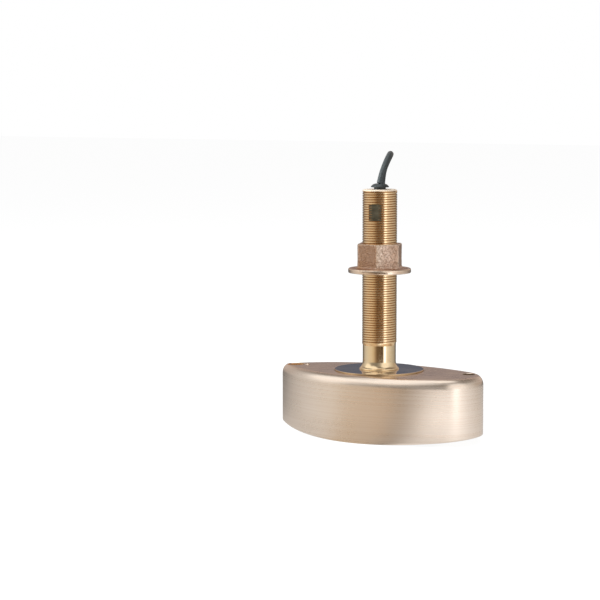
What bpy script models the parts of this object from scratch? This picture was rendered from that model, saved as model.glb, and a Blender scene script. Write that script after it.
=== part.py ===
"""Bronze through-hull sonar transducer.

Metres, +Z up. The stem's axis is the Z axis, the housing's long axis is X, its
pointed end at -X and its round end at +X, and the lowest line of its bowed
underside is at z = 0.
"""
import math

import bmesh
import bpy
from mathutils import Matrix, Vector

for old in list(bpy.data.objects):
    bpy.data.objects.remove(old, do_unlink=True)

MM = 0.001
GAP = 0.3 * MM

# ---------------------------------------------------------------- dimensions
# housing: almond plan of two arcs, one end pointed and one end round
HALF_LEN = 106.6 * MM
HALF_WID = 53.5 * MM
END_R_LEFT = 9.0 * MM
END_R_RIGHT = 39.0 * MM
HOUSING_H = 63.7 * MM
TOP_FILLET = 6.6 * MM
BOTTOM_ROUND = 1.8 * MM
BOW = 6.9 * MM              # how far the underside rises to the ends
WALL = 4.5 * MM
CAVITY_TOP = 55.7 * MM
CAVITY_X0 = -78.0 * MM
CAVITY_X1 = 76.0 * MM
RECESS_Z = 60.1 * MM        # floor of the round recess for the stem's base
HOLE_L = (-92.4 * MM, 0.0 * MM, 8.4 * MM)      # x, y, counterbore radius
HOLE_R = (87.5 * MM, 16.5 * MM, 6.4 * MM)
HOLE_DEPTH = 10.0 * MM
BOLT_R = 3.6 * MM
BOSS = (-80.0 * MM, 1.0 * MM, 2.6 * MM)        # small cast dome beside the left hole

# stem
STEM_TOP = 238.0 * MM
THREAD_R = 16.625 * MM
THREAD_LOW = 89.1 * MM
SHANK_R = 16.0 * MM
BORE_R = 6.0 * MM
BASE_R = 42.86 * MM
BASE_TOP = 65.2 * MM
SPIGOT_R = 19.0 * MM
SPIGOT_LOW = 52.7 * MM
FLAT_DIR = math.radians(281.4)  # direction the milled flat faces
FLAT_DIST = 15.1 * MM
FLAT_Z = (208.5 * MM, 224.2 * MM)

# hull nut
NUT_LOW = 158.1 * MM
NUT_TOP = 186.1 * MM
FLANGE_TOP = 162.5 * MM
FLANGE_R = 30.2 * MM
HEX_FLAT = 20.15 * MM       # half across flats
HEX_TURN = math.radians(49.5)
NUT_BORE = THREAD_R + 0.3 * MM

# cable
CABLE_R = 3.2 * MM
GROMMET_TOP = 243.4 * MM
VIEW = math.radians(27.761)  # the cable comes over and down behind the stem along this bearing
# its stored length is a hank in line with the housing, close behind it
HANK_X = (-58.2 * MM, -2.2 * MM)   # centres of its two folds
HANK_Y = 110.8 * MM
FOLD_IN = 19.7 * MM          # innermost fold, just over three cable diameters
HANK_COLS = 5
HANK_LAYERS = 6
HANK_LIFT = 1.6 * MM         # the ties pass under the hank


# ------------------------------------------------------------------- helpers
def material(name, rgb, rough, metal):
    m = bpy.data.materials.new(name)
    m.use_nodes = True
    p = m.node_tree.nodes["Principled BSDF"]
    p.inputs["Base Color"].default_value = (*rgb, 1.0)
    p.inputs["Roughness"].default_value = rough
    p.inputs["Metallic"].default_value = metal
    m.diffuse_color = (*rgb, 1.0)
    return m


def finish(name, bm, mat, smooth=35.0, at=(0, 0, 0), keep=None):
    bmesh.ops.recalc_face_normals(bm, faces=bm.faces)
    me = bpy.data.meshes.new(name)
    bm.to_mesh(me)
    bm.free()
    me.materials.append(mat)
    if smooth:
        me.shade_smooth()
        me.set_sharp_from_angle(angle=math.radians(smooth))
    ob = bpy.data.objects.new(name, me)
    ob.location = at
    bpy.context.collection.objects.link(ob)
    return ob


def lathe(name, profile, mat, segs=48, at=(0, 0, 0), turn=None, smooth=35.0):
    """Closed (r, z) outline turned about Z."""
    bm = bmesh.new()
    vs = [bm.verts.new((r, 0.0, z)) for r, z in profile]
    es = []
    for i in range(len(vs)):
        a, b = vs[i], vs[(i + 1) % len(vs)]
        if profile[i][0] < 1e-9 and profile[(i + 1) % len(vs)][0] < 1e-9:
            continue
        es.append(bm.edges.new((a, b)))
    bmesh.ops.spin(bm, geom=vs + es, cent=(0, 0, 0), axis=(0, 0, 1), dvec=(0, 0, 0),
                   angle=2 * math.pi, steps=segs, use_merge=True, use_duplicate=False)
    bmesh.ops.remove_doubles(bm, verts=bm.verts, dist=1e-7)
    if turn is not None:
        bmesh.ops.transform(bm, matrix=turn, verts=bm.verts)
    return finish(name, bm, mat, smooth, at)


def loft(name, rings, mat, smooth=35.0, closed=False, cap0=None, cap1=None):
    """Quads between rings of equal length. closed joins the last ring to the first."""
    bm = bmesh.new()
    vr = [[bm.verts.new(p) for p in ring] for ring in rings]
    n = len(rings[0])
    pairs = list(zip(vr[:-1], vr[1:]))
    if closed:
        pairs.append((vr[-1], vr[0]))
    for a, b in pairs:
        for i in range(n):
            j = (i + 1) % n
            bm.faces.new((a[i], a[j], b[j], b[i]))
    for cap, ring in ((cap0, vr[0]), (cap1, vr[-1])):
        if cap == "flat":
            bm.faces.new(ring)
        elif cap == "strips":
            half = n // 2
            for i in range(half):
                a, b = ring[i], ring[i + 1]
                c, d = ring[(n - i - 1) % n], ring[(n - i) % n]
                loop = []
                for v in (a, b, c, d):
                    if v not in loop:
                        loop.append(v)
                if len(loop) > 2:
                    bm.faces.new(loop)
    return finish(name, bm, mat, smooth)


def prism(name, outline, z0, z1, mat, smooth=0.0):
    bm = bmesh.new()
    face = bm.faces.new([bm.verts.new((x, y, z0)) for x, y in outline])
    out = bmesh.ops.extrude_face_region(bm, geom=[face])
    top = [g for g in out["geom"] if isinstance(g, bmesh.types.BMVert)]
    bmesh.ops.translate(bm, vec=(0, 0, z1 - z0), verts=top)
    return finish(name, bm, mat, smooth)


def box(name, lo, hi, mat, turn=0.0):
    bm = bmesh.new()
    bmesh.ops.create_cube(bm, size=1.0)
    size = [h - l for l, h in zip(lo, hi)]
    mid = [(h + l) / 2 for l, h in zip(lo, hi)]
    bmesh.ops.scale(bm, vec=size, verts=bm.verts)
    bmesh.ops.translate(bm, vec=mid, verts=bm.verts)
    bmesh.ops.rotate(bm, cent=(0, 0, 0), matrix=Matrix.Rotation(turn, 3, "Z"), verts=bm.verts)
    return finish(name, bm, mat, 0.0)


def boolean(ob, tool, how="DIFFERENCE"):
    tool.hide_render = True
    tool.display_type = "WIRE"
    m = ob.modifiers.new("cut_" + tool.name, "BOOLEAN")
    m.operation = how
    m.solver = "EXACT"
    m.object = tool
    return ob


def rod(name, r, z0, z1, x, y, mat, segs=24):
    return lathe(name, [(0, z1), (r, z1), (r, z0), (0, z0)], mat, segs, at=(x, y, 0))


def spline_points(ctrl, step, ease=0):
    """Points every step metres along a smooth curve through ctrl, its bends evened out ease times."""
    p = [Vector(c) for c in ctrl]
    p = [2 * p[0] - p[1]] + p + [2 * p[-1] - p[-2]]
    fine = []
    for i in range(1, len(p) - 2):
        p0, p1, p2, p3 = p[i - 1], p[i], p[i + 1], p[i + 2]
        t1 = max((p1 - p0).length, 1e-9) ** 0.5
        t2 = t1 + max((p2 - p1).length, 1e-9) ** 0.5
        t3 = t2 + max((p3 - p2).length, 1e-9) ** 0.5
        for k in range(40):
            t = t1 + (t2 - t1) * k / 40.0
            a1 = p0 * ((t1 - t) / t1) + p1 * (t / t1)
            a2 = p1 * ((t2 - t) / (t2 - t1)) + p2 * ((t - t1) / (t2 - t1))
            a3 = p2 * ((t3 - t) / (t3 - t2)) + p3 * ((t - t2) / (t3 - t2))
            b1 = a1 * ((t2 - t) / t2) + a2 * (t / t2)
            b2 = a2 * ((t3 - t) / (t3 - t1)) + a3 * ((t - t1) / (t3 - t1))
            fine.append(b1 * ((t2 - t) / (t2 - t1)) + b2 * ((t - t1) / (t2 - t1)))
    fine.append(p[-2].copy())
    fine = even_points(fine, 1.0 * MM)
    for _ in range(ease):
        fine[1:-1] = [(a + 2 * b + c) / 4 for a, b, c in zip(fine[:-2], fine[1:-1], fine[2:])]
    return even_points(fine, step)


def even_points(fine, step):
    run = [0.0]
    for a, b in zip(fine[:-1], fine[1:]):
        run.append(run[-1] + (b - a).length)
    n = max(2, int(round(run[-1] / step)))
    out, j = [], 0
    for k in range(n + 1):
        s = run[-1] * k / n
        while j < len(run) - 2 and run[j + 1] < s:
            j += 1
        f = (s - run[j]) / max(run[j + 1] - run[j], 1e-12)
        out.append(fine[j].lerp(fine[j + 1], min(max(f, 0.0), 1.0)))
    return out


def tube(name, pts, radius, mat, res=2):
    cu = bpy.data.curves.new(name, "CURVE")
    cu.dimensions = "3D"
    cu.bevel_depth = radius
    cu.bevel_resolution = res
    cu.use_fill_caps = True
    sp = cu.splines.new("POLY")
    sp.points.add(len(pts) - 1)
    for q, v in zip(sp.points, pts):
        q.co = (*v, 1.0)
    cu.materials.append(mat)
    ob = bpy.data.objects.new(name, cu)
    bpy.context.collection.objects.link(ob)
    return ob


def behind(lateral, depth, z):
    """A point given across and away along the bearing on which the cable is stored."""
    return Vector((math.cos(VIEW) * lateral - math.sin(VIEW) * depth,
                   math.sin(VIEW) * lateral + math.cos(VIEW) * depth, z))


# ----------------------------------------------------------------- materials
BRONZE = material("brushed_bronze", (0.58, 0.44, 0.34), 0.38, 1.0)
STEM_BRONZE = material("turned_bronze", (0.62, 0.42, 0.22), 0.28, 1.0)
NUT_BRONZE = material("cast_bronze", (0.60, 0.41, 0.29), 0.48, 1.0)
RUBBER = material("black_rubber", (0.02, 0.022, 0.024), 0.5, 0.0)
JACKET = material("cable_jacket", (0.018, 0.02, 0.022), 0.45, 0.0)
URETHANE = material("window_urethane", (0.03, 0.03, 0.03), 0.4, 0.0)
RESIN = material("potting_resin", (0.12, 0.08, 0.04), 0.35, 0.0)
CERAMIC = material("piezo_ceramic", (0.72, 0.68, 0.58), 0.5, 0.0)
FOAM = material("cork_foam", (0.30, 0.19, 0.10), 0.9, 0.0)
FERRITE = material("ferrite", (0.06, 0.06, 0.065), 0.6, 0.0)
COPPER = material("copper_winding", (0.50, 0.20, 0.09), 0.35, 1.0)
BOARD = material("circuit_board", (0.03, 0.16, 0.07), 0.5, 0.0)
SENSOR = material("sensor_brass", (0.66, 0.50, 0.25), 0.3, 1.0)
LEAD = material("lead_insulation", (0.45, 0.05, 0.04), 0.5, 0.0)
TIE = material("tie_nylon", (0.03, 0.03, 0.03), 0.45, 0.0)
SHELL = material("connector_shell", (0.04, 0.04, 0.045), 0.4, 0.0)
CONTACT = material("connector_contact", (0.75, 0.60, 0.25), 0.25, 1.0)
CUTTER = material("cutter", (1.0, 0.0, 0.0), 1.0, 0.0)


# -------------------------------------------------------------- housing plan
def arc_data(re):
    """Side arc that meets an end arc of radius re: end centre, arc radius, tangent angle."""
    xc = HALF_LEN - re
    big = (xc * xc + HALF_WID ** 2 - re * re) / (2 * (HALF_WID - re))
    return xc, big, math.atan2(big - HALF_WID, xc)


def plan_outline(n_end_l=6, n_end_r=12, n_side=9):
    """(point, outward normal) pairs round the plan from +X, anticlockwise; symmetric in Y."""
    pts = []
    for re, sign, n_end in ((END_R_RIGHT, 1, n_end_r), (END_R_LEFT, -1, n_end_l)):
        xc, big, t0 = arc_data(re)
        quarter = []
        h = n_end // 2
        for i in range(h):
            a = t0 * i / h
            quarter.append((xc + re * math.cos(a), re * math.sin(a), a))
        for i in range(n_side + 1):
            a = t0 + (math.pi / 2 - t0) * i / n_side
            quarter.append((big * math.cos(a), big * math.sin(a) - (big - HALF_WID), a))
        if sign > 0:
            pts += [((x, y), (math.cos(a), math.sin(a))) for x, y, a in quarter]
        else:
            back = [((-x, y), (-math.cos(a), math.sin(a))) for x, y, a in reversed(quarter)]
            pts += back[1:]
    lower = [((x, -y), (nx, -ny)) for (x, y), (nx, ny) in reversed(pts[1:-1])]
    return pts + lower


def bow(x):
    return BOW * (x / HALF_LEN) ** 2


def inner_y(x, t):
    """Half width of the plan at x, t inside the outer wall."""
    re = END_R_RIGHT if x > 0 else END_R_LEFT
    _, big, _ = arc_data(re)
    return math.sqrt((big - t) ** 2 - x * x) - (big - HALF_WID)


def cavity_outline(t, x0, x1, n=14):
    """Symmetric outline, t inside the outer wall, with straight ends at x0 and x1."""
    up = []
    for i in range(n + 1):
        x = x1 + (x0 - x1) * i / n
        up.append((x, inner_y(x, t)))
    return up + [(x, -y) for x, y in reversed(up)]


OUTLINE = plan_outline()


def housing_ring(t, z_of):
    return [(x - nx * t, y - ny * t, z_of(x)) for (x, y), (nx, ny) in OUTLINE]


rings = []
for k in range(3):
    a = math.pi / 2 * (1 - k / 2)
    rings.append(housing_ring(BOTTOM_ROUND * (1 - math.cos(a)),
                              lambda x, a=a: bow(x) + BOTTOM_ROUND * (1 - math.sin(a))))
for k in range(6):
    a = math.pi / 2 * k / 5
    z = HOUSING_H - TOP_FILLET * (1 - math.sin(a))
    rings.append(housing_ring(TOP_FILLET * (1 - math.cos(a)), lambda x, z=z: z))
housing = loft("housing", rings, BRONZE, smooth=30, cap0="strips", cap1="flat")

cut = prism("cut_cavity", cavity_outline(WALL, CAVITY_X0, CAVITY_X1), -20 * MM, CAVITY_TOP, CUTTER)
boolean(housing, cut)
cut = lathe("cut_recess", [(0, 80 * MM), (BASE_R + GAP, 80 * MM), (BASE_R + GAP, RECESS_Z),
                           (SPIGOT_R + GAP, RECESS_Z), (SPIGOT_R + GAP, 50 * MM), (0, 50 * MM)],
            CUTTER, 48)
boolean(housing, cut)
for tag, (hx, hy, hr) in (("left", HOLE_L), ("right", HOLE_R)):
    low = HOUSING_H - HOLE_DEPTH
    cut = lathe("cut_hole_" + tag, [(0, 80 * MM), (hr, 80 * MM), (hr, low), (BOLT_R, low),
                                    (BOLT_R, -20 * MM), (0, -20 * MM)], CUTTER, 28, at=(hx, hy, 0))
    boolean(housing, cut)
dome = [(0, HOUSING_H + 1.3 * MM), (0.9 * MM, HOUSING_H + 1.2 * MM), (1.8 * MM, HOUSING_H + 0.85 * MM),
        (BOSS[2], HOUSING_H + 0.15 * MM), (BOSS[2], HOUSING_H - 1.5 * MM), (0, HOUSING_H - 1.5 * MM)]
boolean(housing, lathe("add_boss", dome, CUTTER, 16, at=(BOSS[0], BOSS[1], 0)), "UNION")

# ---------------------------------------------------------------------- stem
flare = []
for k in range(6):
    a = math.pi / 2 * k / 5
    flare.append((SHANK_R + 2.9 * MM * (1 - math.cos(a)), 74.0 * MM - 7.4 * MM * math.sin(a)))
stem_profile = [
    (BORE_R, STEM_TOP), (16.0 * MM, STEM_TOP), (THREAD_R, STEM_TOP - 0.8 * MM),
    (THREAD_R, THREAD_LOW + 0.8 * MM), (SHANK_R, THREAD_LOW),
] + flare + [
    (18.9 * MM, BASE_TOP),
    (BASE_R - 0.4 * MM, BASE_TOP), (BASE_R, BASE_TOP - 0.4 * MM), (BASE_R, RECESS_Z + GAP),
    (SPIGOT_R, RECESS_Z + GAP), (SPIGOT_R, SPIGOT_LOW), (BORE_R, SPIGOT_LOW),
]
stem = lathe("stem", stem_profile, STEM_BRONZE, 40)
cut = box("cut_flat", (FLAT_DIST, -12 * MM, FLAT_Z[0]), (30 * MM, 12 * MM, FLAT_Z[1]), CUTTER, FLAT_DIR)
boolean(stem, cut)

# ------------------------------------------------------------------ hull nut
NUT_ANGLES = []
for side in range(6):
    base = side * math.pi / 3
    for deg in (-4.6, -1.6, 1.6, 4.6, 17.0, 30.0, 43.0):
        NUT_ANGLES.append(base + math.radians(deg))


def hex_radius(a):
    """Rounded hexagon, a measured from a corner."""
    f = (a + math.pi / 6) % (math.pi / 3) - math.pi / 6
    straight = HEX_FLAT / math.cos(math.pi / 6 - abs(f))
    corner = 2.2 * MM                     # radius of the cast corner
    centre = (HEX_FLAT - corner) / math.cos(math.pi / 6)
    s = math.sin(abs(f)) * centre
    if s < corner:
        reach = centre * math.cos(f) + math.sqrt(corner ** 2 - s ** 2)
        limit = math.atan2(corner * math.sin(math.pi / 6), centre + corner * math.cos(math.pi / 6))
        if abs(f) <= limit:
            return reach
    return straight


def nut_ring(z, radius):
    return [(radius(a) * math.cos(a + HEX_TURN), radius(a) * math.sin(a + HEX_TURN), z) for a in NUT_ANGLES]


def fixed(r):
    return lambda a: r


nut_rings = [
    nut_ring(NUT_LOW, fixed(NUT_BORE + 0.6 * MM)),
    nut_ring(NUT_LOW, fixed(FLANGE_R - 0.6 * MM)),
    nut_ring(NUT_LOW + 0.6 * MM, fixed(FLANGE_R)),
    nut_ring(FLANGE_TOP - 1.0 * MM, fixed(FLANGE_R)),
    nut_ring(FLANGE_TOP, fixed(FLANGE_R - 1.0 * MM)),
    nut_ring(FLANGE_TOP + 0.3 * MM, lambda a: hex_radius(a) + 2.6 * MM),
    nut_ring(FLANGE_TOP + 1.0 * MM, lambda a: hex_radius(a) + 1.1 * MM),
    nut_ring(FLANGE_TOP + 3.8 * MM, hex_radius),
    nut_ring(NUT_TOP - 0.7 * MM, hex_radius),
    nut_ring(NUT_TOP, lambda a: hex_radius(a) - 0.8 * MM),
    nut_ring(NUT_TOP, fixed(NUT_BORE + 0.6 * MM)),
    nut_ring(NUT_TOP - 0.6 * MM, fixed(NUT_BORE)),
    nut_ring(NUT_LOW + 0.6 * MM, fixed(NUT_BORE)),
]
hull_nut = loft("hull_nut", nut_rings, NUT_BRONZE, smooth=28, closed=True)

# ------------------------------------------------ grommet and cable in stem
grommet_profile = [
    (CABLE_R + GAP, GROMMET_TOP), (4.6 * MM, GROMMET_TOP), (6.4 * MM, 242.9 * MM), (7.8 * MM, 241.9 * MM),
    (8.7 * MM, 240.7 * MM), (8.8 * MM, 240.2 * MM), (8.3 * MM, 240.0 * MM), (5.7 * MM, 240.3 * MM),
    (BORE_R - GAP, 239.8 * MM), (BORE_R - GAP, 226.0 * MM), (CABLE_R + GAP, 226.0 * MM),
]
lathe("cable_grommet", grommet_profile, RUBBER, 22)
rod("cable_in_stem", CABLE_R, 50.4 * MM, GROMMET_TOP, 0, 0, JACKET, 16)
lathe("stem_potting", [(CABLE_R + GAP, 225.7 * MM), (BORE_R - GAP, 225.7 * MM), (BORE_R - GAP, 60.0 * MM),
                       (CABLE_R + GAP, 60.0 * MM)], RESIN, 24)

# ------------------------------------------------------ inside the housing
WIN_T = WALL + GAP
win_out = cavity_outline(WIN_T, CAVITY_X0 + GAP, CAVITY_X1 - GAP)
window = loft("acoustic_window",
              [[(x, y, bow(x) + 0.3 * MM) for x, y in win_out], [(x, y, 12.0 * MM) for x, y in win_out]],
              URETHANE, smooth=30, cap0="strips", cap1="flat")
SENSOR_AT = (10.0 * MM, -40.0 * MM)
boolean(window, rod("cut_sensor_w", 2.8 * MM, -10 * MM, 20 * MM, *SENSOR_AT, CUTTER, 16))
rod("thermistor", 2.5 * MM, 0.5 * MM, 17.0 * MM, *SENSOR_AT, SENSOR, 16)

potting = prism("potting", win_out, 12.3 * MM, CAVITY_TOP - GAP, RESIN)
TRAY_X = (CAVITY_X0 + 2.9 * MM, 1.6 * MM)
TRAY_T = WALL + 2.9 * MM
pocket = cavity_outline(TRAY_T - GAP, TRAY_X[0] - GAP, TRAY_X[1] + GAP, 10)
boolean(potting, prism("cut_tray", pocket, 0, 47.2 * MM, CUTTER))
DISC_AT = (38.0 * MM, 0.0)
boolean(potting, lathe("cut_disc", [(0, 46 * MM), (16.6 * MM, 46 * MM), (16.6 * MM, 29.2 * MM),
                                    (34.3 * MM, 29.2 * MM), (34.3 * MM, 0), (0, 0)], CUTTER, 32,
                       at=(*DISC_AT, 0)))
boolean(potting, box("cut_board", (-14.3 * MM, -12.3 * MM, 48.2 * MM), (26.3 * MM, 12.3 * MM, 70 * MM), CUTTER))
boolean(potting, rod("cut_spigot", SPIGOT_R + GAP, 52.4 * MM, 70 * MM, 0, 0, CUTTER, 24))
boolean(potting, rod("cut_sensor_p", 2.8 * MM, 0, 17.4 * MM, *SENSOR_AT, CUTTER, 16))
boolean(potting, box("cut_groove_l", (-40 * MM, 7.4 * MM, 50.2 * MM), (-10 * MM, 10.6 * MM, 70 * MM), CUTTER))
boolean(potting, rod("cut_drop_l", 3.4 * MM, 40 * MM, 70 * MM, -40 * MM, 9 * MM, CUTTER, 12))
boolean(potting, box("cut_groove_r", (20 * MM, -7.6 * MM, 50.2 * MM), (38 * MM, -4.4 * MM, 70 * MM), CUTTER))
boolean(potting, rod("cut_drop_r", 3.4 * MM, 40 * MM, 70 * MM, 38 * MM, -6 * MM, CUTTER, 12))

tray_out = cavity_outline(TRAY_T, *TRAY_X, 10)
tray = prism("element_tray", tray_out, 12.6 * MM, 40.6 * MM, FOAM)
PUCKS = [(-12.5, -26), (-12.5, 0), (-12.5, 26), (-38.0, -26), (-38.0, 0), (-38.0, 26), (-62.0, 0)]
for n, (px, py) in enumerate(PUCKS, 1):
    px, py = px * MM, py * MM
    boolean(tray, rod("cut_puck_%d" % n, 12.3 * MM, 0, 60 * MM, px, py, CUTTER, 20))
    rod("ceramic_50khz_%d" % n, 12.0 * MM, 12.9 * MM, 40.6 * MM, px, py, CERAMIC, 20)
prism("array_foam", tray_out, 40.9 * MM, 46.9 * MM, FOAM)

rod("ceramic_200khz", 34.0 * MM, 12.6 * MM, 22.6 * MM, *DISC_AT, CERAMIC, 32)
rod("disc_foam", 34.0 * MM, 22.9 * MM, 28.9 * MM, *DISC_AT, FOAM, 32)
lathe("transformer_core", [(0, 45.7 * MM), (6.0 * MM, 45.7 * MM), (6.0 * MM, 32.5 * MM), (16.2 * MM, 32.5 * MM),
                           (16.2 * MM, 29.5 * MM), (0, 29.5 * MM)], FERRITE, 24, at=(*DISC_AT, 0))
lathe("transformer_winding", [(6.3 * MM, 45.4 * MM), (15.6 * MM, 45.4 * MM), (15.6 * MM, 32.8 * MM),
                              (6.3 * MM, 32.8 * MM)], COPPER, 24, at=(*DISC_AT, 0))
box("terminal_board", (-14.0 * MM, -12.0 * MM, 48.5 * MM), (26.0 * MM, 12.0 * MM, 50.1 * MM), BOARD)
tube("lead_50khz", spline_points([(-6 * MM, 9 * MM, 51.3 * MM), (-20 * MM, 9 * MM, 51.4 * MM),
                                  (-34 * MM, 9 * MM, 51.4 * MM), (-38.4 * MM, 9 * MM, 50.6 * MM),
                                  (-40 * MM, 9 * MM, 48.0 * MM)], 2 * MM),
     0.9 * MM, LEAD, 2)
tube("lead_200khz", spline_points([(20 * MM, -6 * MM, 51.3 * MM), (28 * MM, -6 * MM, 51.4 * MM),
                                   (33 * MM, -6 * MM, 51.4 * MM), (36.6 * MM, -6 * MM, 50.4 * MM),
                                   (38 * MM, -6 * MM, 47.2 * MM)], 2 * MM),
     0.9 * MM, LEAD, 2)

# -------------------------------------------------------------------- cable
# up out of the grommet, over in a bend of four diameters, down behind the stem,
# and round one end of the hank in which the rest of its length is stored
HANK_HALF = (HANK_COLS - 1) * CABLE_R
HANK_OUT = FOLD_IN + 2 * HANK_HALF + CABLE_R + 0.1 * MM   # outside of a fold
HANK_IN = FOLD_IN - CABLE_R - 0.1 * MM
BESIDE_R = HANK_OUT + CABLE_R + GAP                       # cable lying beside the hank
LAY_Z = HANK_LIFT + CABLE_R
TUBE_TOP = GROMMET_TOP + GAP
BEND = 27.5 * MM
DOWN_X = -27.0 * MM
PLUG_X, PLUG_Y, PLUG_Z = -50.0 * MM, HANK_Y + 62.1 * MM, 11.2 * MM


def fold(deg, radius, z, end=0):
    """A point round one end of the hank; end 0 is the one towards -X."""
    a = math.radians(deg)
    return (HANK_X[end] + radius * math.cos(a), HANK_Y + radius * math.sin(a), z)


def cable_drop():
    pts = [(0.0, 0.0, TUBE_TOP)]
    for k in range(1, 9):
        th = math.pi * k / 9
        depth = 28.8 * MM * (1 - math.cos(th))
        z = TUBE_TOP + 1.0 * MM + 26.6 * MM * math.sin(th)
        seen = z + (0.3387 - z) * depth / 2.0
        pts.append((8.8 * MM * (max(seen - TUBE_TOP, 0.0) / (25.5 * MM)) ** 1.5, depth, z))
    for across, away, z in ((1.9, 57.6, 241), (1.5, 58.6, 226), (1.7, 60.8, 195), (2.3, 62.9, 160),
                            (2.9, 64.1, 120), (3.3, 64.5, 85), (3.4, 64.5, 60)):
        pts.append((across * MM, away * MM, z * MM))
    pts = [tuple(behind(*q)) for q in pts]
    row = HANK_Y - BESIDE_R
    pts.append((DOWN_X, row, 42 * MM))
    for k in range(1, 6):
        th = math.pi / 2 * k / 5
        pts.append((DOWN_X - BEND * (1 - math.cos(th)), row, LAY_Z + 0.1 * MM + BEND * (1 - math.sin(th))))
    pts.append(fold(-96, BESIDE_R, LAY_Z))
    pts.append(fold(-106, BESIDE_R, LAY_Z))
    return pts


def cable_tail():
    pts = [fold(deg, BESIDE_R + out * MM, z * MM)
           for deg, out, z in ((-122, 0.5, 36.6), (-140, 0.6, 35.8), (-160, 0.6, 33.4), (-180, 0.6, 30.0),
                               (-200, 1.0, 26.0), (-220, 2.3, 21.6), (-240, 4.8, 17.2), (-256, 7.8, 13.8))]
    pts += [(PLUG_X - 9.0 * MM, PLUG_Y - 0.3 * MM, PLUG_Z + 0.4 * MM), (PLUG_X - GAP, PLUG_Y, PLUG_Z)]
    return pts


drop = spline_points(cable_drop(), 12.5 * MM, 100)
drop.insert(1, drop[0] + Vector((0, 0, 1.5 * MM)))     # square to the grommet's mouth
tube("cable_tube", drop, CABLE_R, JACKET, 2)


def stadium(radius, z, n=12):
    """Outline of the hank's plan at one distance from the line between its folds."""
    return ([fold(-90 + 180 * i / n, radius, z, 1) for i in range(n + 1)]
            + [fold(90 + 180 * i / n, radius, z, 0) for i in range(n + 1)])


hank_h = HANK_LAYERS * 2 * CABLE_R
h_lo, h_hi, soft = HANK_LIFT, HANK_LIFT + hank_h, 1.2 * MM
loft("cable_hank", [stadium(r, z) for r, z in (
    (HANK_IN + soft, h_hi), (HANK_OUT - soft, h_hi), (HANK_OUT, h_hi - soft), (HANK_OUT, h_lo + soft),
    (HANK_OUT - soft, h_lo), (HANK_IN + soft, h_lo), (HANK_IN, h_lo + soft), (HANK_IN, h_hi - soft),
)], JACKET, smooth=35, closed=True)

TIE_T, TIE_W = 1.2 * MM, 5.0 * MM


def hank_tie(name, x, bearing):
    """Flat band round the hank's section at x, where the hank's outside faces this bearing."""
    a0, a1 = HANK_IN - 2 * GAP, HANK_OUT + GAP
    b0, b1 = h_lo - GAP, h_hi + GAP
    loops = []
    for side in (-TIE_W / 2, TIE_W / 2):
        for grow in (0.0, TIE_T):
            loops.append([(a0 - grow, side, b0 - grow), (a1 + grow, side, b0 - grow),
                          (a1 + grow, side, b1 + grow), (a0 - grow, side, b1 + grow)])
    inner0, outer0, inner1, outer1 = loops
    bm = bmesh.new()
    v = [[bm.verts.new(p) for p in loop] for loop in (inner0, outer0, outer1, inner1)]
    for k in range(4):
        a, b = v[k], v[(k + 1) % 4]
        for i in range(4):
            j = (i + 1) % 4
            bm.faces.new((a[i], a[j], b[j], b[i]))
    turn = Matrix.Translation((x, HANK_Y, 0)) @ Matrix.Rotation(math.radians(bearing), 4, "Z")
    bmesh.ops.transform(bm, matrix=turn, verts=bm.verts)
    return finish(name, bm, TIE, 0.0)


hank_tie("hank_tie_1", -10.0 * MM, -90)
hank_tie("hank_tie_2", HANK_X[1], 0)
hank_tie("hank_tie_3", -55.7 * MM, 90)

tail = spline_points(cable_tail(), 12.5 * MM, 60)
tail.insert(-1, tail[-1] - Vector((1.5 * MM, 0, 0)))   # square to the boot's mouth
tube("cable_tail", tail, CABLE_R, JACKET, 2)

along_turn = Matrix.Rotation(math.pi / 2, 4, "Y")


def plug_part(name, profile, mat, start, segs=20, smooth=35.0):
    """A turned piece whose own Z runs along the connector's axis, start mm from the boot's mouth."""
    place = Matrix.Translation((PLUG_X + start * MM, PLUG_Y, PLUG_Z)) @ along_turn
    return lathe(name, [(r * MM, z * MM) for r, z in profile], mat, segs, turn=place, smooth=smooth)


plug_part("connector_boot", [(0, 26), (7.6, 26), (7.6, 22), (6.6, 20), (5.0, 8), (4.4, 0), (0, 0)], RUBBER, 0.0)
plug_part("connector_body", [(0, 26), (8.4, 26), (8.4, 17), (9.8, 16.4), (9.8, 2), (9.0, 0), (0, 0)], SHELL, 26.3)
plug_part("connector_ring", [(8.8, 19), (10.2, 19), (11.0, 18), (11.0, 1), (10.2, 0), (8.8, 0)], SHELL, 44.0)
plug_part("connector_insert", [(0, 8), (6.8, 8), (6.8, 0), (0, 0)], CONTACT, 52.6)
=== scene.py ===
"""Looks of the bronze through-hull transducer: fine surfaces, finishes, cable, camera and light.

Metres, +Z up. The stem's axis is the Z axis and the housing's long axis is X.
"""
import math

import bmesh
import bpy
import numpy as np
from mathutils import Matrix, Vector, noise


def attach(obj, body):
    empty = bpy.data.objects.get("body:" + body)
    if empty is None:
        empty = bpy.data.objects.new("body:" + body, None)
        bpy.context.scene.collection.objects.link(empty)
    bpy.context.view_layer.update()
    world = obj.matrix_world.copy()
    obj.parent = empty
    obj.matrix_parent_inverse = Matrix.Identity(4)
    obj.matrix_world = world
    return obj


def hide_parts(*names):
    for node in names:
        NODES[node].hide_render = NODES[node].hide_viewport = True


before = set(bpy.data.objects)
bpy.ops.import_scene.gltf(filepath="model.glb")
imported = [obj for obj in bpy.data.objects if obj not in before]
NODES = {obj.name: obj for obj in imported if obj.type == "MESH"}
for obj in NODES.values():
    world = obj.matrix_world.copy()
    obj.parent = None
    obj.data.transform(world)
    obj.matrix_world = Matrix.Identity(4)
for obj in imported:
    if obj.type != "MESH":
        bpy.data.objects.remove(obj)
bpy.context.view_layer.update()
scene = bpy.context.scene

MM = 0.001
GAP = 0.3 * MM

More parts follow.
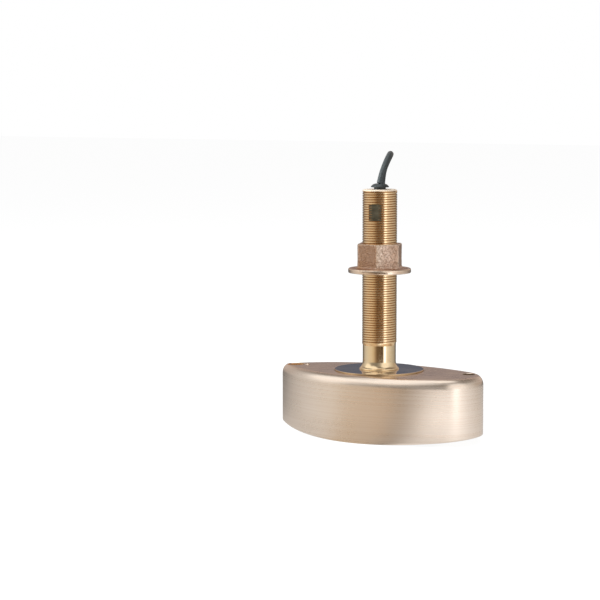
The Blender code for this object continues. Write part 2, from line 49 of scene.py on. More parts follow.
# ------------------------------------------------- dimensions, as in the CAD
HALF_LEN, HALF_WID = 106.6 * MM, 53.5 * MM
END_R_LEFT, END_R_RIGHT = 9.0 * MM, 39.0 * MM
HOUSING_H, TOP_FILLET, BOTTOM_ROUND, BOW = 63.7 * MM, 6.6 * MM, 1.8 * MM, 6.9 * MM
SHOULDER = 9.4 * MM                                               # the top edge's rounding, down the wall
WALL, CAVITY_TOP, CAVITY_X0, CAVITY_X1 = 4.5 * MM, 55.7 * MM, -78.0 * MM, 76.0 * MM
RECESS_Z = 60.1 * MM
HOLE_L = (-92.4 * MM, 0.0 * MM, 8.4 * MM)
HOLE_R = (87.5 * MM, 16.5 * MM, 6.4 * MM)
HOLE_DEPTH, BOLT_R = 10.0 * MM, 3.6 * MM
BOSS = (-80.0 * MM, 1.0 * MM, 2.6 * MM)

STEM_TOP, THREAD_R, THREAD_LOW, SHANK_R = 238.0 * MM, 16.6 * MM, 89.1 * MM, 16.0 * MM
THREAD_PITCH, THREAD_DEPTH = 2.309 * MM, 0.95 * MM
SHANK_TOP = 88.5 * MM                                              # where the plain shank meets the first turn
BORE_R, BASE_R, BASE_TOP = 6.0 * MM, 42.86 * MM, 65.2 * MM
SPIGOT_R, SPIGOT_LOW = 19.0 * MM, 52.7 * MM
FLAT_DIR, FLAT_DIST = math.radians(281.4), 15.1 * MM
FLAT_Z = (208.5 * MM, 224.2 * MM)

NUT_LOW, NUT_TOP, FLANGE_TOP, FLANGE_R = 158.1 * MM, 186.1 * MM, 162.5 * MM, 30.2 * MM
HEX_FLAT, HEX_TURN, NUT_BORE = 20.15 * MM, math.radians(49.5), 16.925 * MM

CABLE_R, GROMMET_TOP = 3.2 * MM, 243.4 * MM
VIEW = math.radians(27.761)
HANK_X, HANK_Y = (-58.2 * MM, -2.2 * MM), 110.8 * MM
FOLD_IN, HANK_COLS, HANK_LAYERS, HANK_LIFT = 19.7 * MM, 5, 6, 1.6 * MM
HANK_HALF = (HANK_COLS - 1) * CABLE_R
HANK_OUT = FOLD_IN + 2 * HANK_HALF + CABLE_R + 0.1 * MM
HANK_IN = FOLD_IN - CABLE_R - 0.1 * MM
BESIDE_R = HANK_OUT + CABLE_R + GAP
LAY_Z = HANK_LIFT + CABLE_R
TUBE_TOP = GROMMET_TOP + GAP
BEND = 27.5 * MM
DOWN_X = -27.0 * MM
PLUG_X, PLUG_Y, PLUG_Z = -50.0 * MM, HANK_Y + 62.1 * MM, 11.2 * MM

# -------------------------------------------------------------------- camera
cam_data = bpy.data.cameras.new("camera")
cam_data.lens = 125.454
cam_data.sensor_width = 36.0
cam_data.sensor_fit = "HORIZONTAL"
cam_data.clip_start, cam_data.clip_end = 0.05, 60.0
camera = bpy.data.objects.new("camera", cam_data)
camera.location = (0.93156883, -1.76979646, 0.3387)
camera.rotation_euler = (math.radians(90.0 - 5.9176), 0.0, math.radians(29.94915))
scene.collection.objects.link(camera)
scene.camera = camera
scene.view_settings.view_transform = "Standard"
scene.view_settings.look = "None"


# ------------------------------------------------------------- node material
class Mat:
    """A procedural material: Principled BSDF with small helpers for its nodes."""

    def __init__(self, name, metallic=0.0, **fixed):
        self.m = bpy.data.materials.new(name)
        self.m.use_nodes = True
        self.t = self.m.node_tree
        self.p = self.t.nodes["Principled BSDF"]
        self.p.inputs["Metallic"].default_value = metallic
        for k, v in fixed.items():
            self.p.inputs[k.replace("_", " ")].default_value = v
        self.co = self.t.nodes.new("ShaderNodeTexCoord").outputs["Object"]

    def node(self, kind, **props):
        n = self.t.nodes.new(kind)
        for k, v in props.items():
            setattr(n, k, v)
        return n

    def wire(self, a, b):
        self.t.links.new(a, b)

    def scaled(self, scale, vec=None):
        n = self.node("ShaderNodeMapping")
        self.wire(vec or self.co, n.inputs["Vector"])
        n.inputs["Scale"].default_value = scale if hasattr(scale, "__len__") else (scale,) * 3
        return n.outputs["Vector"]

    def noise(self, scale, detail=3.0, rough=0.55, distortion=0.0, vec=None):
        n = self.node("ShaderNodeTexNoise")
        self.wire(self.scaled(scale, vec), n.inputs["Vector"])
        n.inputs["Scale"].default_value = 1.0
        n.inputs["Detail"].default_value = detail
        n.inputs["Roughness"].default_value = rough
        n.inputs["Distortion"].default_value = distortion
        return n.outputs["Fac"]

    def voronoi(self, scale, feature="F1", vec=None):
        n = self.node("ShaderNodeTexVoronoi", feature=feature)
        self.wire(self.scaled(scale, vec), n.inputs["Vector"])
        n.inputs["Scale"].default_value = 1.0
        return n.outputs["Distance"]

    def ramp(self, fac, stops):
        n = self.node("ShaderNodeValToRGB")
        e = n.color_ramp.elements
        while len(e) < len(stops):
            e.new(0.5)
        for s, (pos, col) in zip(e, stops):
            s.position = pos
            s.color = (*col, 1.0) if hasattr(col, "__len__") else (col, col, col, 1.0)
        self.wire(fac, n.inputs["Fac"])
        return n.outputs["Color"]

    def mapped(self, fac, lo, hi, a=0.0, b=1.0):
        n = self.node("ShaderNodeMapRange")
        self.wire(fac, n.inputs["Value"])
        for k, v in (("From Min", a), ("From Max", b), ("To Min", lo), ("To Max", hi)):
            n.inputs[k].default_value = v
        return n.outputs["Result"]

    def math(self, op, a, b=None):
        n = self.node("ShaderNodeMath", operation=op)
        for i, x in enumerate((a, b)):
            if x is None:
                continue
            if isinstance(x, (int, float)):
                n.inputs[i].default_value = x
            else:
                self.wire(x, n.inputs[i])
        return n.outputs["Value"]

    def mix(self, fac, a, b, blend="MIX"):
        n = self.node("ShaderNodeMix", data_type="RGBA", blend_type=blend)
        for key, x in (("Factor", fac), ("A", a), ("B", b)):
            s = [i for i in n.inputs if i.name == key and i.type == ("VALUE" if key == "Factor" else "RGBA")][0]
            if isinstance(x, (int, float)):
                s.default_value = x
            elif isinstance(x, tuple):
                s.default_value = (*x, 1.0)
            else:
                self.wire(x, s)
        return [o for o in n.outputs if o.type == "RGBA"][0]

    def attribute(self, name):
        n = self.node("ShaderNodeAttribute", attribute_name=name)
        return n.outputs["Fac"]

    def axis(self, which, normal=False):
        src = self.node("ShaderNodeNewGeometry").outputs["Normal"] if normal else self.co
        n = self.node("ShaderNodeSeparateXYZ")
        self.wire(src, n.inputs[0])
        return n.outputs[which]

    def bump(self, height, strength, distance, after=None):
        n = self.node("ShaderNodeBump")
        n.inputs["Strength"].default_value = strength
        n.inputs["Distance"].default_value = distance
        self.wire(height, n.inputs["Height"])
        if after is not None:
            self.wire(after, n.inputs["Normal"])
        return n.outputs["Normal"]

    def use(self, color=None, rough=None, normal=None, **more):
        if color is not None:
            self.wire(color, self.p.inputs["Base Color"])
        if rough is not None:
            self.wire(rough, self.p.inputs["Roughness"])
        if normal is not None:
            self.wire(normal, self.p.inputs["Normal"])
        for k, v in more.items():
            self.wire(v, self.p.inputs[k.replace("_", " ")])
        return self.m


def housing_bronze():
    a = Mat("housing_bronze", 1.0, Anisotropic=0.5, Anisotropic_Rotation=0.25)
    nrm = a.node("ShaderNodeNewGeometry").outputs["Normal"]
    along = a.node("ShaderNodeVectorMath", operation="CROSS_PRODUCT")      # the brushing runs level round the wall
    along.inputs[0].default_value = (0, 0, 1)
    a.wire(nrm, along.inputs[1])
    flat = a.math("POWER", a.math("MAXIMUM", a.axis("Z", True), 0.0), 6.0)
    lean = a.node("ShaderNodeCombineXYZ")                                  # and lengthways over the top
    a.wire(flat, lean.inputs[0])
    tan = a.node("ShaderNodeVectorMath", operation="ADD")
    a.wire(along.outputs[0], tan.inputs[0])
    a.wire(lean.outputs[0], tan.inputs[1])
    side = a.noise((1.6, 1.6, 640), 4.0, 0.62)
    top = a.noise((1.6, 640, 1.6), 4.0, 0.62)
    line = a.math("ADD", a.math("MULTIPLY", side, a.math("SUBTRACT", 1.0, flat)), a.math("MULTIPLY", top, flat))
    coarse = a.noise((2, 2, 230), 3.0, 0.6)
    cloud = a.noise(26, 4.0, 0.6)
    tint = a.ramp(cloud, [(0.25, (0.790, 0.640, 0.515)), (0.5, (0.820, 0.675, 0.550)), (0.78, (0.840, 0.705, 0.590))])
    tint = a.mix(a.mapped(line, 0.0, 0.34, 0.38, 0.72), tint, (0.95, 0.86, 0.76))
    tint = a.mix(a.mapped(line, 0.20, 0.0, 0.30, 0.52), tint, (0.58, 0.44, 0.33))
    tint = a.mix(a.mapped(coarse, 0.0, 0.12, 0.42, 0.75), tint, (0.64, 0.50, 0.39))
    tint = a.mix(a.math("MULTIPLY", a.attribute("wear"), 0.35), tint, (0.97, 0.88, 0.78))
    rough = a.math("ADD", a.mapped(line, 0.235, 0.335, 0.3, 0.7), a.mapped(cloud, -0.03, 0.04, 0.3, 0.7))
    n = a.bump(line, 0.10, 0.00010)
    n = a.bump(cloud, 0.03, 0.0004, n)
    return a.use(tint, rough, n, Tangent=tan.outputs[0])


def stem_bronze():
    a = Mat("stem_bronze", 1.0)
    lines = a.noise((30, 30, 2600), 3.0, 0.6)
    cloud = a.noise((60, 60, 35), 4.0, 0.6)
    valley_shade_mask = a.attribute("valley_shade_mask")                                   # 1 in the thread's valleys, where the tint is darkened as painted shade
    tint = a.ramp(cloud, [(0.25, (0.76, 0.515, 0.27)), (0.5, (0.82, 0.575, 0.32)), (0.8, (0.87, 0.645, 0.40))])
    tint = a.mix(a.mapped(lines, 0.0, 0.20, 0.35, 0.75), tint, (0.93, 0.78, 0.57))
    # the valleys turned dark brown: painted shade
    tint = a.mix(a.mapped(valley_shade_mask, 0.0, 0.60, 0.25, 1.0), tint, (0.38, 0.22, 0.10))
    rough = a.math("ADD", a.mapped(lines, 0.12, 0.21, 0.3, 0.7), a.mapped(valley_shade_mask, 0.0, 0.10))
    rough = a.math("ADD", rough, a.mapped(cloud, -0.03, 0.05, 0.3, 0.7))
    return a.use(tint, rough, a.bump(lines, 0.08, 0.00006))


def shank_bronze():
    a = Mat("shank_bronze", 1.0)
    lines = a.noise((20, 20, 3200), 2.0, 0.6)
    cloud = a.noise(45, 3.0, 0.55)
    tint = a.ramp(cloud, [(0.3, (0.81, 0.60, 0.345)), (0.7, (0.86, 0.665, 0.42))])
    tint = a.mix(a.mapped(lines, 0.0, 0.25, 0.35, 0.75), tint, (0.93, 0.80, 0.61))
    rough = a.math("ADD", a.mapped(lines, 0.055, 0.09, 0.3, 0.7), a.mapped(cloud, -0.01, 0.02, 0.3, 0.7))
    rough = a.math("ADD", rough, a.mapped(a.axis(2), 0.11, 0.0, 70.5 * MM, 76.0 * MM))        # the foot is less polished
    return a.use(tint, rough, a.bump(lines, 0.014, 0.00004))


def disc_bronze():
    a = Mat("disc_bronze", 1.0)
    geo = a.node("ShaderNodeSeparateXYZ")
    a.wire(a.co, geo.inputs[0])
    r = a.math("SQRT", a.math("ADD", a.math("MULTIPLY", geo.outputs[0], geo.outputs[0]),
                              a.math("MULTIPLY", geo.outputs[1], geo.outputs[1])))
    comb = a.node("ShaderNodeCombineXYZ")
    a.wire(a.math("MULTIPLY", r, 2600.0), comb.inputs[0])
    rings = a.node("ShaderNodeTexNoise")
    rings.inputs["Scale"].default_value = 1.0
    rings.inputs["Detail"].default_value = 2.0
    a.wire(comb.outputs[0], rings.inputs["Vector"])
    rings = rings.outputs["Fac"]
    cloud = a.noise(40, 4.0, 0.6)
    tint = a.ramp(cloud, [(0.3, (0.66, 0.565, 0.475)), (0.7, (0.78, 0.69, 0.60))])
    tint = a.mix(a.mapped(rings, 0.0, 0.2, 0.35, 0.7), tint, (0.88, 0.80, 0.73))
    rough = a.math("ADD", a.mapped(rings, 0.06, 0.11, 0.3, 0.7), a.mapped(cloud, 0.0, 0.06, 0.35, 0.75))
    return a.use(tint, rough, a.bump(rings, 0.06, 0.00003))


# The base's side: a darker copy of the stem's bronze, painted shade.
def shaded_edge_bronze():
    a = Mat("shaded_edge_bronze", 1.0)
    cloud = a.noise(70, 4.0, 0.6)
    lines = a.noise((40, 40, 2500), 2.0)
    tint = a.ramp(cloud, [(0.3, (0.50, 0.34, 0.19)), (0.75, (0.64, 0.46, 0.28))])
    return a.use(tint, a.mapped(lines, 0.20, 0.34, 0.3, 0.7), a.bump(lines, 0.1, 0.00005))


def end_bronze_highlight():
    """The stem's chamfered end, cut dull; its pale, partly non-metal tint is a painted highlight."""
    a = Mat("end_bronze_highlight", 0.8)
    lines = a.noise(700, 4.0, 0.6)
    cloud = a.noise(160, 3.0)
    tint = a.ramp(cloud, [(0.3, (0.90, 0.76, 0.60)), (0.7, (0.95, 0.85, 0.72))])
    return a.use(tint, a.mapped(lines, 0.60, 0.74, 0.3, 0.7), a.bump(lines, 0.12, 0.0001))


def bore_bronze(name="bore_bronze", lo=(0.86, 0.54, 0.20), hi=(0.94, 0.68, 0.32)):
    """Turned inside of the two bolt recesses, warmer than the outside; the right one's much darker colours are painted
    shade.
    """
    a = Mat(name, 1.0)
    lines = a.noise((30, 30, 2400), 2.0)
    cloud = a.noise(160, 4.0, 0.6)
    tint = a.ramp(cloud, [(0.3, lo), (0.7, hi)])
    return a.use(tint, a.mapped(lines, 0.46, 0.60, 0.3, 0.7), a.bump(lines, 0.15, 0.00006))


def flat_bronze():
    """The milled flat, darker and dulled, with cutter marks across it."""
    a = Mat("flat_bronze", 1.0)
    marks = a.noise((120, 120, 1700), 2.0, 0.5)
    cloud = a.noise(240, 4.0, 0.6)
    tint = a.ramp(cloud, [(0.3, (0.115, 0.110, 0.080)), (0.7, (0.235, 0.215, 0.155))])
    return a.use(tint, a.mapped(cloud, 0.36, 0.55, 0.3, 0.7), a.bump(marks, 0.25, 0.0001))


def nut_bronze():
    """Sand-cast and left rough: pitted, pink to brown, brighter on worn edges, with painted shade on the hexagon's
    faces and a painted highlight on one of them.
    """
    a = Mat("nut_bronze", 1.0)
    grit = a.noise(900, 5.0, 0.65)
    grains = a.noise(430, 3.0, 0.6, 0.8)
    cloud = a.noise(75, 4.0, 0.6, 0.4)
    tint = a.ramp(cloud, [(0.25, (0.64, 0.43, 0.31)), (0.5, (0.78, 0.565, 0.435)), (0.75, (0.87, 0.685, 0.56))])
    tint = a.mix(a.mapped(a.noise(42, 3.0, 0.5), 0.0, 0.60, 0.54, 0.70), tint, (0.66, 0.36, 0.14))
    tint = a.mix(a.mapped(grains, 0.0, 0.62, 0.50, 0.36), tint, (0.36, 0.21, 0.135))
    tint = a.mix(a.mapped(grains, 0.0, 0.60, 0.55, 0.70), tint, (0.95, 0.81, 0.71))
    tint = a.mix(a.mapped(grit, 0.0, 0.40, 0.52, 0.78), tint, (0.38, 0.235, 0.155))
    # per-face browning: stain, and painted shade on the hexagon's faces
    tint = a.mix(a.math("MULTIPLY", a.attribute("stain_and_shade"), 0.80), tint, (0.44, 0.245, 0.14))
    # worn edges brighter, and a painted highlight on one face of the hexagon
    tint = a.mix(a.math("MULTIPLY", a.attribute("wear"), 0.75), tint, (0.95, 0.80, 0.64))
    rough = a.math("ADD", a.mapped(grit, 0.24, 0.38, 0.3, 0.7), a.math("MULTIPLY", a.attribute("corner"), -0.12))
    n = a.bump(grains, 0.95, 0.0020)
    n = a.bump(grit, 0.35, 0.0003, n)
    n = a.bump(cloud, 0.35, 0.0012, n)
    return a.use(tint, rough, n)


def rim_bronze():
    """The flange's rim, skimmed in the lathe: brighter, with the casting's pits left here and there."""
    a = Mat("rim_bronze", 1.0)
    lines = a.noise((40, 40, 1800), 3.0, 0.6)
    pits = a.noise((260, 260, 420), 3.0, 0.6, 0.5)
    tint = a.ramp(a.noise(90, 3.0), [(0.3, (0.70, 0.49, 0.34)), (0.7, (0.80, 0.61, 0.465))])
    tint = a.mix(a.mapped(pits, 0.0, 0.75, 0.56, 0.68), tint, (0.34, 0.20, 0.13))
    tint = a.mix(a.math("MULTIPLY", a.attribute("wear"), 0.6), tint, (0.96, 0.84, 0.70))
    rough = a.math("ADD", a.mapped(lines, 0.16, 0.27, 0.3, 0.7), a.mapped(pits, 0.0, 0.16, 0.55, 0.7))
    return a.use(tint, rough, a.bump(pits, 0.25, 0.0005, a.bump(lines, 0.1, 0.00006)))


def rubber(name, dark=0.008, light=0.022, rough=(0.36, 0.52), scale=700.0, sheen=0.0):
    a = Mat(name, 0.0, Sheen_Weight=sheen, Sheen_Roughness=0.35)
    grain = a.noise(scale, 4.0, 0.6)
    cloud = a.noise(60, 3.0, 0.55)
    tint = a.ramp(cloud, [(0.3, (dark * 0.9, dark * 1.1, dark * 1.15)), (0.75, (light * 0.9, light * 1.1, light * 1.15))])
    dust = a.mapped(a.noise(190, 4.0, 0.65), 0.0, 0.05, 0.58, 0.76)
    tint = a.mix(dust, tint, (0.20, 0.20, 0.20))
    return a.use(tint, a.mapped(grain, *rough, 0.3, 0.7), a.bump(grain, 0.18, 0.00012))


def plain(name, lo, hi, rough, metal=0.0, scale=300.0, bump=0.15, distance=0.00015, stretch=(1, 1, 1), speck=None):
    a = Mat(name, metal)
    grain = a.noise(tuple(scale * s for s in stretch), 4.0, 0.6)
    cloud = a.noise(scale * 0.12, 3.0, 0.5)
    tint = a.ramp(cloud, [(0.3, lo), (0.72, hi)])
    tint = a.mix(a.mapped(grain, 0.0, 0.35, 0.5, 0.8), tint, speck or tuple(c * 0.55 for c in lo))
    return a.use(tint, a.mapped(grain, *rough, 0.3, 0.7), a.bump(grain, bump, distance))


M_HOUSING, M_STEM, M_SHANK, M_DISC = housing_bronze(), stem_bronze(), shank_bronze(), disc_bronze()
M_SHADED_EDGE, M_FLAT, M_NUT, M_BORE = shaded_edge_bronze(), flat_bronze(), nut_bronze(), bore_bronze()
# the right recess's bore: a dark copy of the bore bronze, painted shade
M_RIM, M_END_HIGHLIGHT, M_BORE_SHADE = rim_bronze(), end_bronze_highlight(), bore_bronze("bore_bronze_painted_shade", (0.20, 0.12, 0.06), (0.34, 0.22, 0.12))
M_GROMMET = rubber("grommet_rubber", 0.016, 0.030, (0.34, 0.46), 500, 0.05)
M_JACKET = rubber("cable_jacket", 0.026, 0.044, (0.36, 0.50), 900, 0.0)
M_WINDOW = rubber("window_urethane", 0.016, 0.030, (0.26, 0.40), 420, 0.0)
M_BOOT = rubber("connector_rubber", 0.010, 0.022, (0.46, 0.6), 800)
M_SHELL = plain("connector_plastic", (0.018, 0.018, 0.020), (0.030, 0.030, 0.033), (0.34, 0.5), scale=900)
M_TIE = plain("tie_nylon", (0.014, 0.014, 0.015), (0.026, 0.026, 0.028), (0.30, 0.44), scale=1200)
M_RESIN = plain("resin", (0.10, 0.062, 0.030), (0.17, 0.11, 0.06), (0.22, 0.4), scale=220)
M_CORK = plain("cork", (0.27, 0.165, 0.085), (0.40, 0.27, 0.155), (0.8, 0.95), scale=900, bump=0.5, distance=0.0004)
M_CERAMIC = plain("ceramic", (0.60, 0.565, 0.475), (0.72, 0.69, 0.60), (0.42, 0.6), scale=700)
M_FERRITE = plain("ferrite", (0.045, 0.045, 0.05), (0.08, 0.08, 0.085), (0.5, 0.7), scale=900)
M_COPPER = plain("copper", (0.47, 0.18, 0.075), (0.62, 0.27, 0.12), (0.22, 0.36), 1.0, 500, 0.4, 0.0003, (0.2, 0.2, 6))
M_BOARD = plain("board", (0.025, 0.13, 0.055), (0.05, 0.20, 0.09), (0.35, 0.5), scale=1500)
M_LEAD = plain("lead_insulation", (0.42, 0.04, 0.03), (0.55, 0.07, 0.055), (0.35, 0.5), scale=900)
M_SENSOR = plain("sensor_metal", (0.62, 0.46, 0.22), (0.74, 0.58, 0.32), (0.2, 0.34), 1.0, 900)
M_CONTACT = plain("contact_metal", (0.74, 0.56, 0.22), (0.84, 0.67, 0.32), (0.16, 0.26), 1.0, 900)
M_INSERT = plain("insert_insulator", (0.09, 0.085, 0.08), (0.14, 0.13, 0.12), (0.4, 0.55), scale=900)


# ------------------------------------------------------------- mesh helpers
def mesh_piece(name, verts, faces, mats, sharp=35.0, attrs=None, face_mats=None):
    me = bpy.data.meshes.new(name)
    me.from_pydata([tuple(v) for v in verts], [], [tuple(f) for f in faces])
    for m in mats if isinstance(mats, (list, tuple)) else [mats]:
        me.materials.append(m)
    if face_mats is not None:
        me.polygons.foreach_set("material_index", np.array(face_mats, np.int32))
    for key, values in (attrs or {}).items():
        at = me.attributes.new(key, "FLOAT", "POINT")
        at.data.foreach_set("value", np.array(values, np.float32))
    me.shade_smooth()
    me.set_sharp_from_angle(angle=math.radians(sharp))
    me.validate()
    ob = bpy.data.objects.new(name, me)
    scene.collection.objects.link(ob)
    return ob


def rings_piece(name, rings, mats, sharp=35.0, closed=False, caps=(False, False), attrs=None, ring_mats=None):
    """Quads between rings of equal length; caps close the first and last ring."""
    n = len(rings[0])
    verts = [p for ring in rings for p in ring]
    faces, fm = [], []
    pairs = [(k, k + 1) for k in range(len(rings) - 1)] + ([(len(rings) - 1, 0)] if closed else [])
    for a, b in pairs:
        for i in range(n):
            j = (i + 1) % n
            faces.append((a * n + i, a * n + j, b * n + j, b * n + i))
            fm.append(ring_mats[a] if ring_mats else 0)
    if caps[0]:
        faces.append(tuple(range(n))[::-1])
        fm.append(ring_mats[0] if ring_mats else 0)
    if caps[1]:
        faces.append(tuple((len(rings) - 1) * n + i for i in range(n)))
        fm.append(ring_mats[-1] if ring_mats else 0)
    return mesh_piece(name, verts, faces, mats, sharp, attrs, fm)


def lathe(name, profile, mats, segs=96, sharp=35.0, ring_mats=None, radius=None):
    """Closed (r, z) outline turned about Z; radius(angle, r, z) may shape it round."""
    rings = []
    for r, z in profile:
        rings.append([((radius(2 * math.pi * i / segs, r, z) if radius else r) * math.cos(2 * math.pi * i / segs),
                       (radius(2 * math.pi * i / segs, r, z) if radius else r) * math.sin(2 * math.pi * i / segs), z)
                      for i in range(segs)])
    ob = rings_piece(name, rings, mats, sharp, closed=True, ring_mats=ring_mats)
    fix_normals(ob)
    return ob


def fix_normals(ob):
    bm = bmesh.new()
    bm.from_mesh(ob.data)
    bmesh.ops.remove_doubles(bm, verts=bm.verts, dist=1e-7)
    bmesh.ops.recalc_face_normals(bm, faces=bm.faces)
    bm.to_mesh(ob.data)
    bm.free()


def apply_modifiers(ob):
    dg = bpy.context.evaluated_depsgraph_get()
    me = bpy.data.meshes.new_from_object(ob.evaluated_get(dg), preserve_all_data_layers=True, depsgraph=dg)
    old = ob.data
    ob.modifiers.clear()
    ob.data = me
    bpy.data.meshes.remove(old)


def cut(ob, tools, how="DIFFERENCE"):
    for tool in tools:
        m = ob.modifiers.new("cut", "BOOLEAN")
        m.operation, m.solver, m.object = how, "EXACT", tool
        m.material_mode = "TRANSFER"
    apply_modifiers(ob)
    for tool in tools:
        bpy.data.objects.remove(tool, do_unlink=True)


def arc(cx, cz, r, a0, a1, n):
    return [(cx + r * math.cos(math.radians(a0 + (a1 - a0) * k / n)),
             cz + r * math.sin(math.radians(a0 + (a1 - a0) * k / n))) for k in range(n + 1)]


# ------------------------------------------------------------ cable and hank
def behind(lateral, depth, z):
    return Vector((math.cos(VIEW) * lateral - math.sin(VIEW) * depth,
                   math.sin(VIEW) * lateral + math.cos(VIEW) * depth, z))


def fold(deg, radius, z, end=0):
    """A point round one end of the hank; end 0 is the one towards -X."""
    a = math.radians(deg)
    return (HANK_X[end] + radius * math.cos(a), HANK_Y + radius * math.sin(a), z)


def even_points(fine, step):
    fine = np.array(fine, float)
    run = np.r_[0, np.cumsum(np.linalg.norm(np.diff(fine, axis=0), axis=1))]
    s = np.linspace(0, run[-1], max(2, int(round(run[-1] / step))) + 1)
    return np.c_[[np.interp(s, run, fine[:, k]) for k in range(3)]].T


def eased(fine, times):
    for _ in range(times):
        fine[1:-1] = (fine[:-2] + 2 * fine[1:-1] + fine[2:]) / 4
    return fine


def spline_points(ctrl, step, ease=0):
    p = [np.array(c, float) for c in ctrl]
    p = [2 * p[0] - p[1]] + p + [2 * p[-1] - p[-2]]
    fine = []
    for i in range(1, len(p) - 2):
        p0, p1, p2, p3 = p[i - 1:i + 3]
        t1 = np.linalg.norm(p1 - p0) ** 0.5
        t2 = t1 + np.linalg.norm(p2 - p1) ** 0.5
        t3 = t2 + np.linalg.norm(p3 - p2) ** 0.5
        for k in range(40):
            t = t1 + (t2 - t1) * k / 40.0
            a1 = p0 * ((t1 - t) / t1) + p1 * (t / t1)
            a2 = p1 * ((t2 - t) / (t2 - t1)) + p2 * ((t - t1) / (t2 - t1))
            a3 = p2 * ((t3 - t) / (t3 - t2)) + p3 * ((t - t2) / (t3 - t2))
            b1 = a1 * ((t2 - t) / t2) + a2 * (t / t2)
            b2 = a2 * ((t3 - t) / (t3 - t1)) + a3 * ((t - t1) / (t3 - t1))
            fine.append(b1 * ((t2 - t) / (t2 - t1)) + b2 * ((t - t1) / (t2 - t1)))
    fine.append(p[-2])
    return even_points(eased(even_points(fine, 1.0 * MM), ease), step)


def cable_drop():
    pts = [(0.0, 0.0, TUBE_TOP)]
    for k in range(1, 9):
        th = math.pi * k / 9
        depth = 28.8 * MM * (1 - math.cos(th))
        z = TUBE_TOP + 1.0 * MM + 26.6 * MM * math.sin(th)
        seen = z + (0.3387 - z) * depth / 2.0
        pts.append((8.8 * MM * (max(seen - TUBE_TOP, 0.0) / (25.5 * MM)) ** 1.5, depth, z))
    for across, away, z in ((1.9, 57.6, 241), (1.5, 58.6, 226), (1.7, 60.8, 195), (2.3, 62.9, 160),
                            (2.9, 64.1, 120), (3.3, 64.5, 85), (3.4, 64.5, 60)):
        pts.append((across * MM, away * MM, z * MM))
    pts = [tuple(behind(*q)) for q in pts]
    row = HANK_Y - BESIDE_R
    pts.append((DOWN_X, row, 42 * MM))
    for k in range(1, 6):
        th = math.pi / 2 * k / 5
        pts.append((DOWN_X - BEND * (1 - math.cos(th)), row, LAY_Z + 0.1 * MM + BEND * (1 - math.sin(th))))
    pts.append(fold(-96, BESIDE_R, LAY_Z))
    pts.append(fold(-106, BESIDE_R, LAY_Z))
    return pts


def cable_tail():
    pts = [fold(deg, BESIDE_R + out * MM, z * MM)
           for deg, out, z in ((-122, 0.5, 36.6), (-140, 0.6, 35.8), (-160, 0.6, 33.4), (-180, 0.6, 30.0),
                               (-200, 1.0, 26.0), (-220, 2.3, 21.6), (-240, 4.8, 17.2), (-256, 7.8, 13.8))]
    pts += [(PLUG_X - 9.0 * MM, PLUG_Y - 0.3 * MM, PLUG_Z + 0.4 * MM), (PLUG_X - GAP, PLUG_Y, PLUG_Z)]
    return pts


def smooth01(x):
    x = min(max(x, 0.0), 1.0)
    return x * x * (3 - 2 * x)


def hank_turns():
    """Wound from the outside of the bottom layer, in and out by turns, to the outside of the top one."""
    d = 2 * CABLE_R
    outer = HANK_OUT - CABLE_R - 0.1 * MM
    slots = []
    for layer in range(HANK_LAYERS):
        cols = range(HANK_COLS) if layer % 2 == 0 else range(HANK_COLS - 1, -1, -1)
        slots += [(outer - d * c, LAY_Z + d * layer) for c in cols]
    x0, x1 = HANK_X
    pts = []
    for k in range(24):                                          # in from beside the hank
        deg = -111 - 5.0 * k
        pts.append(fold(deg, BESIDE_R + (outer - BESIDE_R) * smooth01((-106 - deg) / 118), LAY_Z))
    pts += [fold(-230 - 8 * k, outer, LAY_Z) for k in range(6)]
    pts += [(x0 + (x1 - x0) * k / 8, HANK_Y + outer, LAY_Z) for k in range(1, 8)]
    for k, (r, z) in enumerate(slots):
        n = max(14, int(round(math.pi * r / (5.5 * MM))))
        pts += [fold(90 - 180 * i / n, r, z, 1) for i in range(n + 1)]
        if k == len(slots) - 1:
            break
        pts += [(x1 + (x0 - x1) * i / 8, HANK_Y - r, z) for i in range(1, 8)]
        pts += [fold(-90 - 180 * i / n, r, z, 0) for i in range(n + 1)]
        nr, nz = slots[k + 1]
        out = 2.2 * MM if nz > z else 0.0                        # a strand that climbs a layer stands out a little
        out = -out if r < 0.5 * (outer + FOLD_IN) else out
        for i in range(1, 18):
            u = i / 18
            f = smooth01((u - 0.08) / 0.86)
            pts.append((x0 + (x1 - x0) * u, HANK_Y + r + (nr - r) * f + out * math.sin(math.pi * f) ** 2, z + (nz - z) * f))
    for i in range(1, 12):                                       # last turn, leaving beside the top layer
        x = x1 + (x0 - x1) * i / 12
        pts.append((x, HANK_Y - r - (BESIDE_R + 0.5 * MM - r) * smooth01((-36 * MM - x) / (47 * MM)), z))
    for deg in (-90, -95, -100, -105, -110, -115):
        run = (-36 * MM - x0) + math.radians(-90 - deg) * r
        pts.append(fold(deg, r + (BESIDE_R + 0.5 * MM - r) * smooth01(run / (47 * MM)), z - 0.2 * MM * smooth01((-90 - deg) / 30)))
    return pts


route = list(spline_points(cable_drop(), 2.0 * MM, 100))
hank = eased(even_points([route[-1]] + hank_turns() + [spline_points(cable_tail(), 2.0 * MM, 60)[0]], 3.0 * MM), 2)
route += list(hank[1:-1]) + list(spline_points(cable_tail(), 2.0 * MM, 60))
route = [Vector(q) for q in route]
CABLE_LENGTH = sum((b - a).length for a, b in zip(route[:-1], route[1:]))

cu = bpy.data.curves.new("cable", "CURVE")
cu.dimensions = "3D"
cu.bevel_depth = CABLE_R
cu.bevel_resolution = 4
cu.use_fill_caps = True
sp = cu.splines.new("POLY")
sp.points.add(len(route) - 1)
for q, v in zip(sp.points, route):
    q.co = (*v, 1.0)
sp.use_smooth = True
cu.materials.append(M_JACKET)
cable = bpy.data.objects.new("cable", cu)
scene.collection.objects.link(cable)
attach(cable, "transducer")
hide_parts("cable_tube", "cable_hank", "cable_tail")

# ties: a strap with rounded edges and a ratchet head on the hank's top
H_LO, H_HI = HANK_LIFT, HANK_LIFT + HANK_LAYERS * 2 * CABLE_R


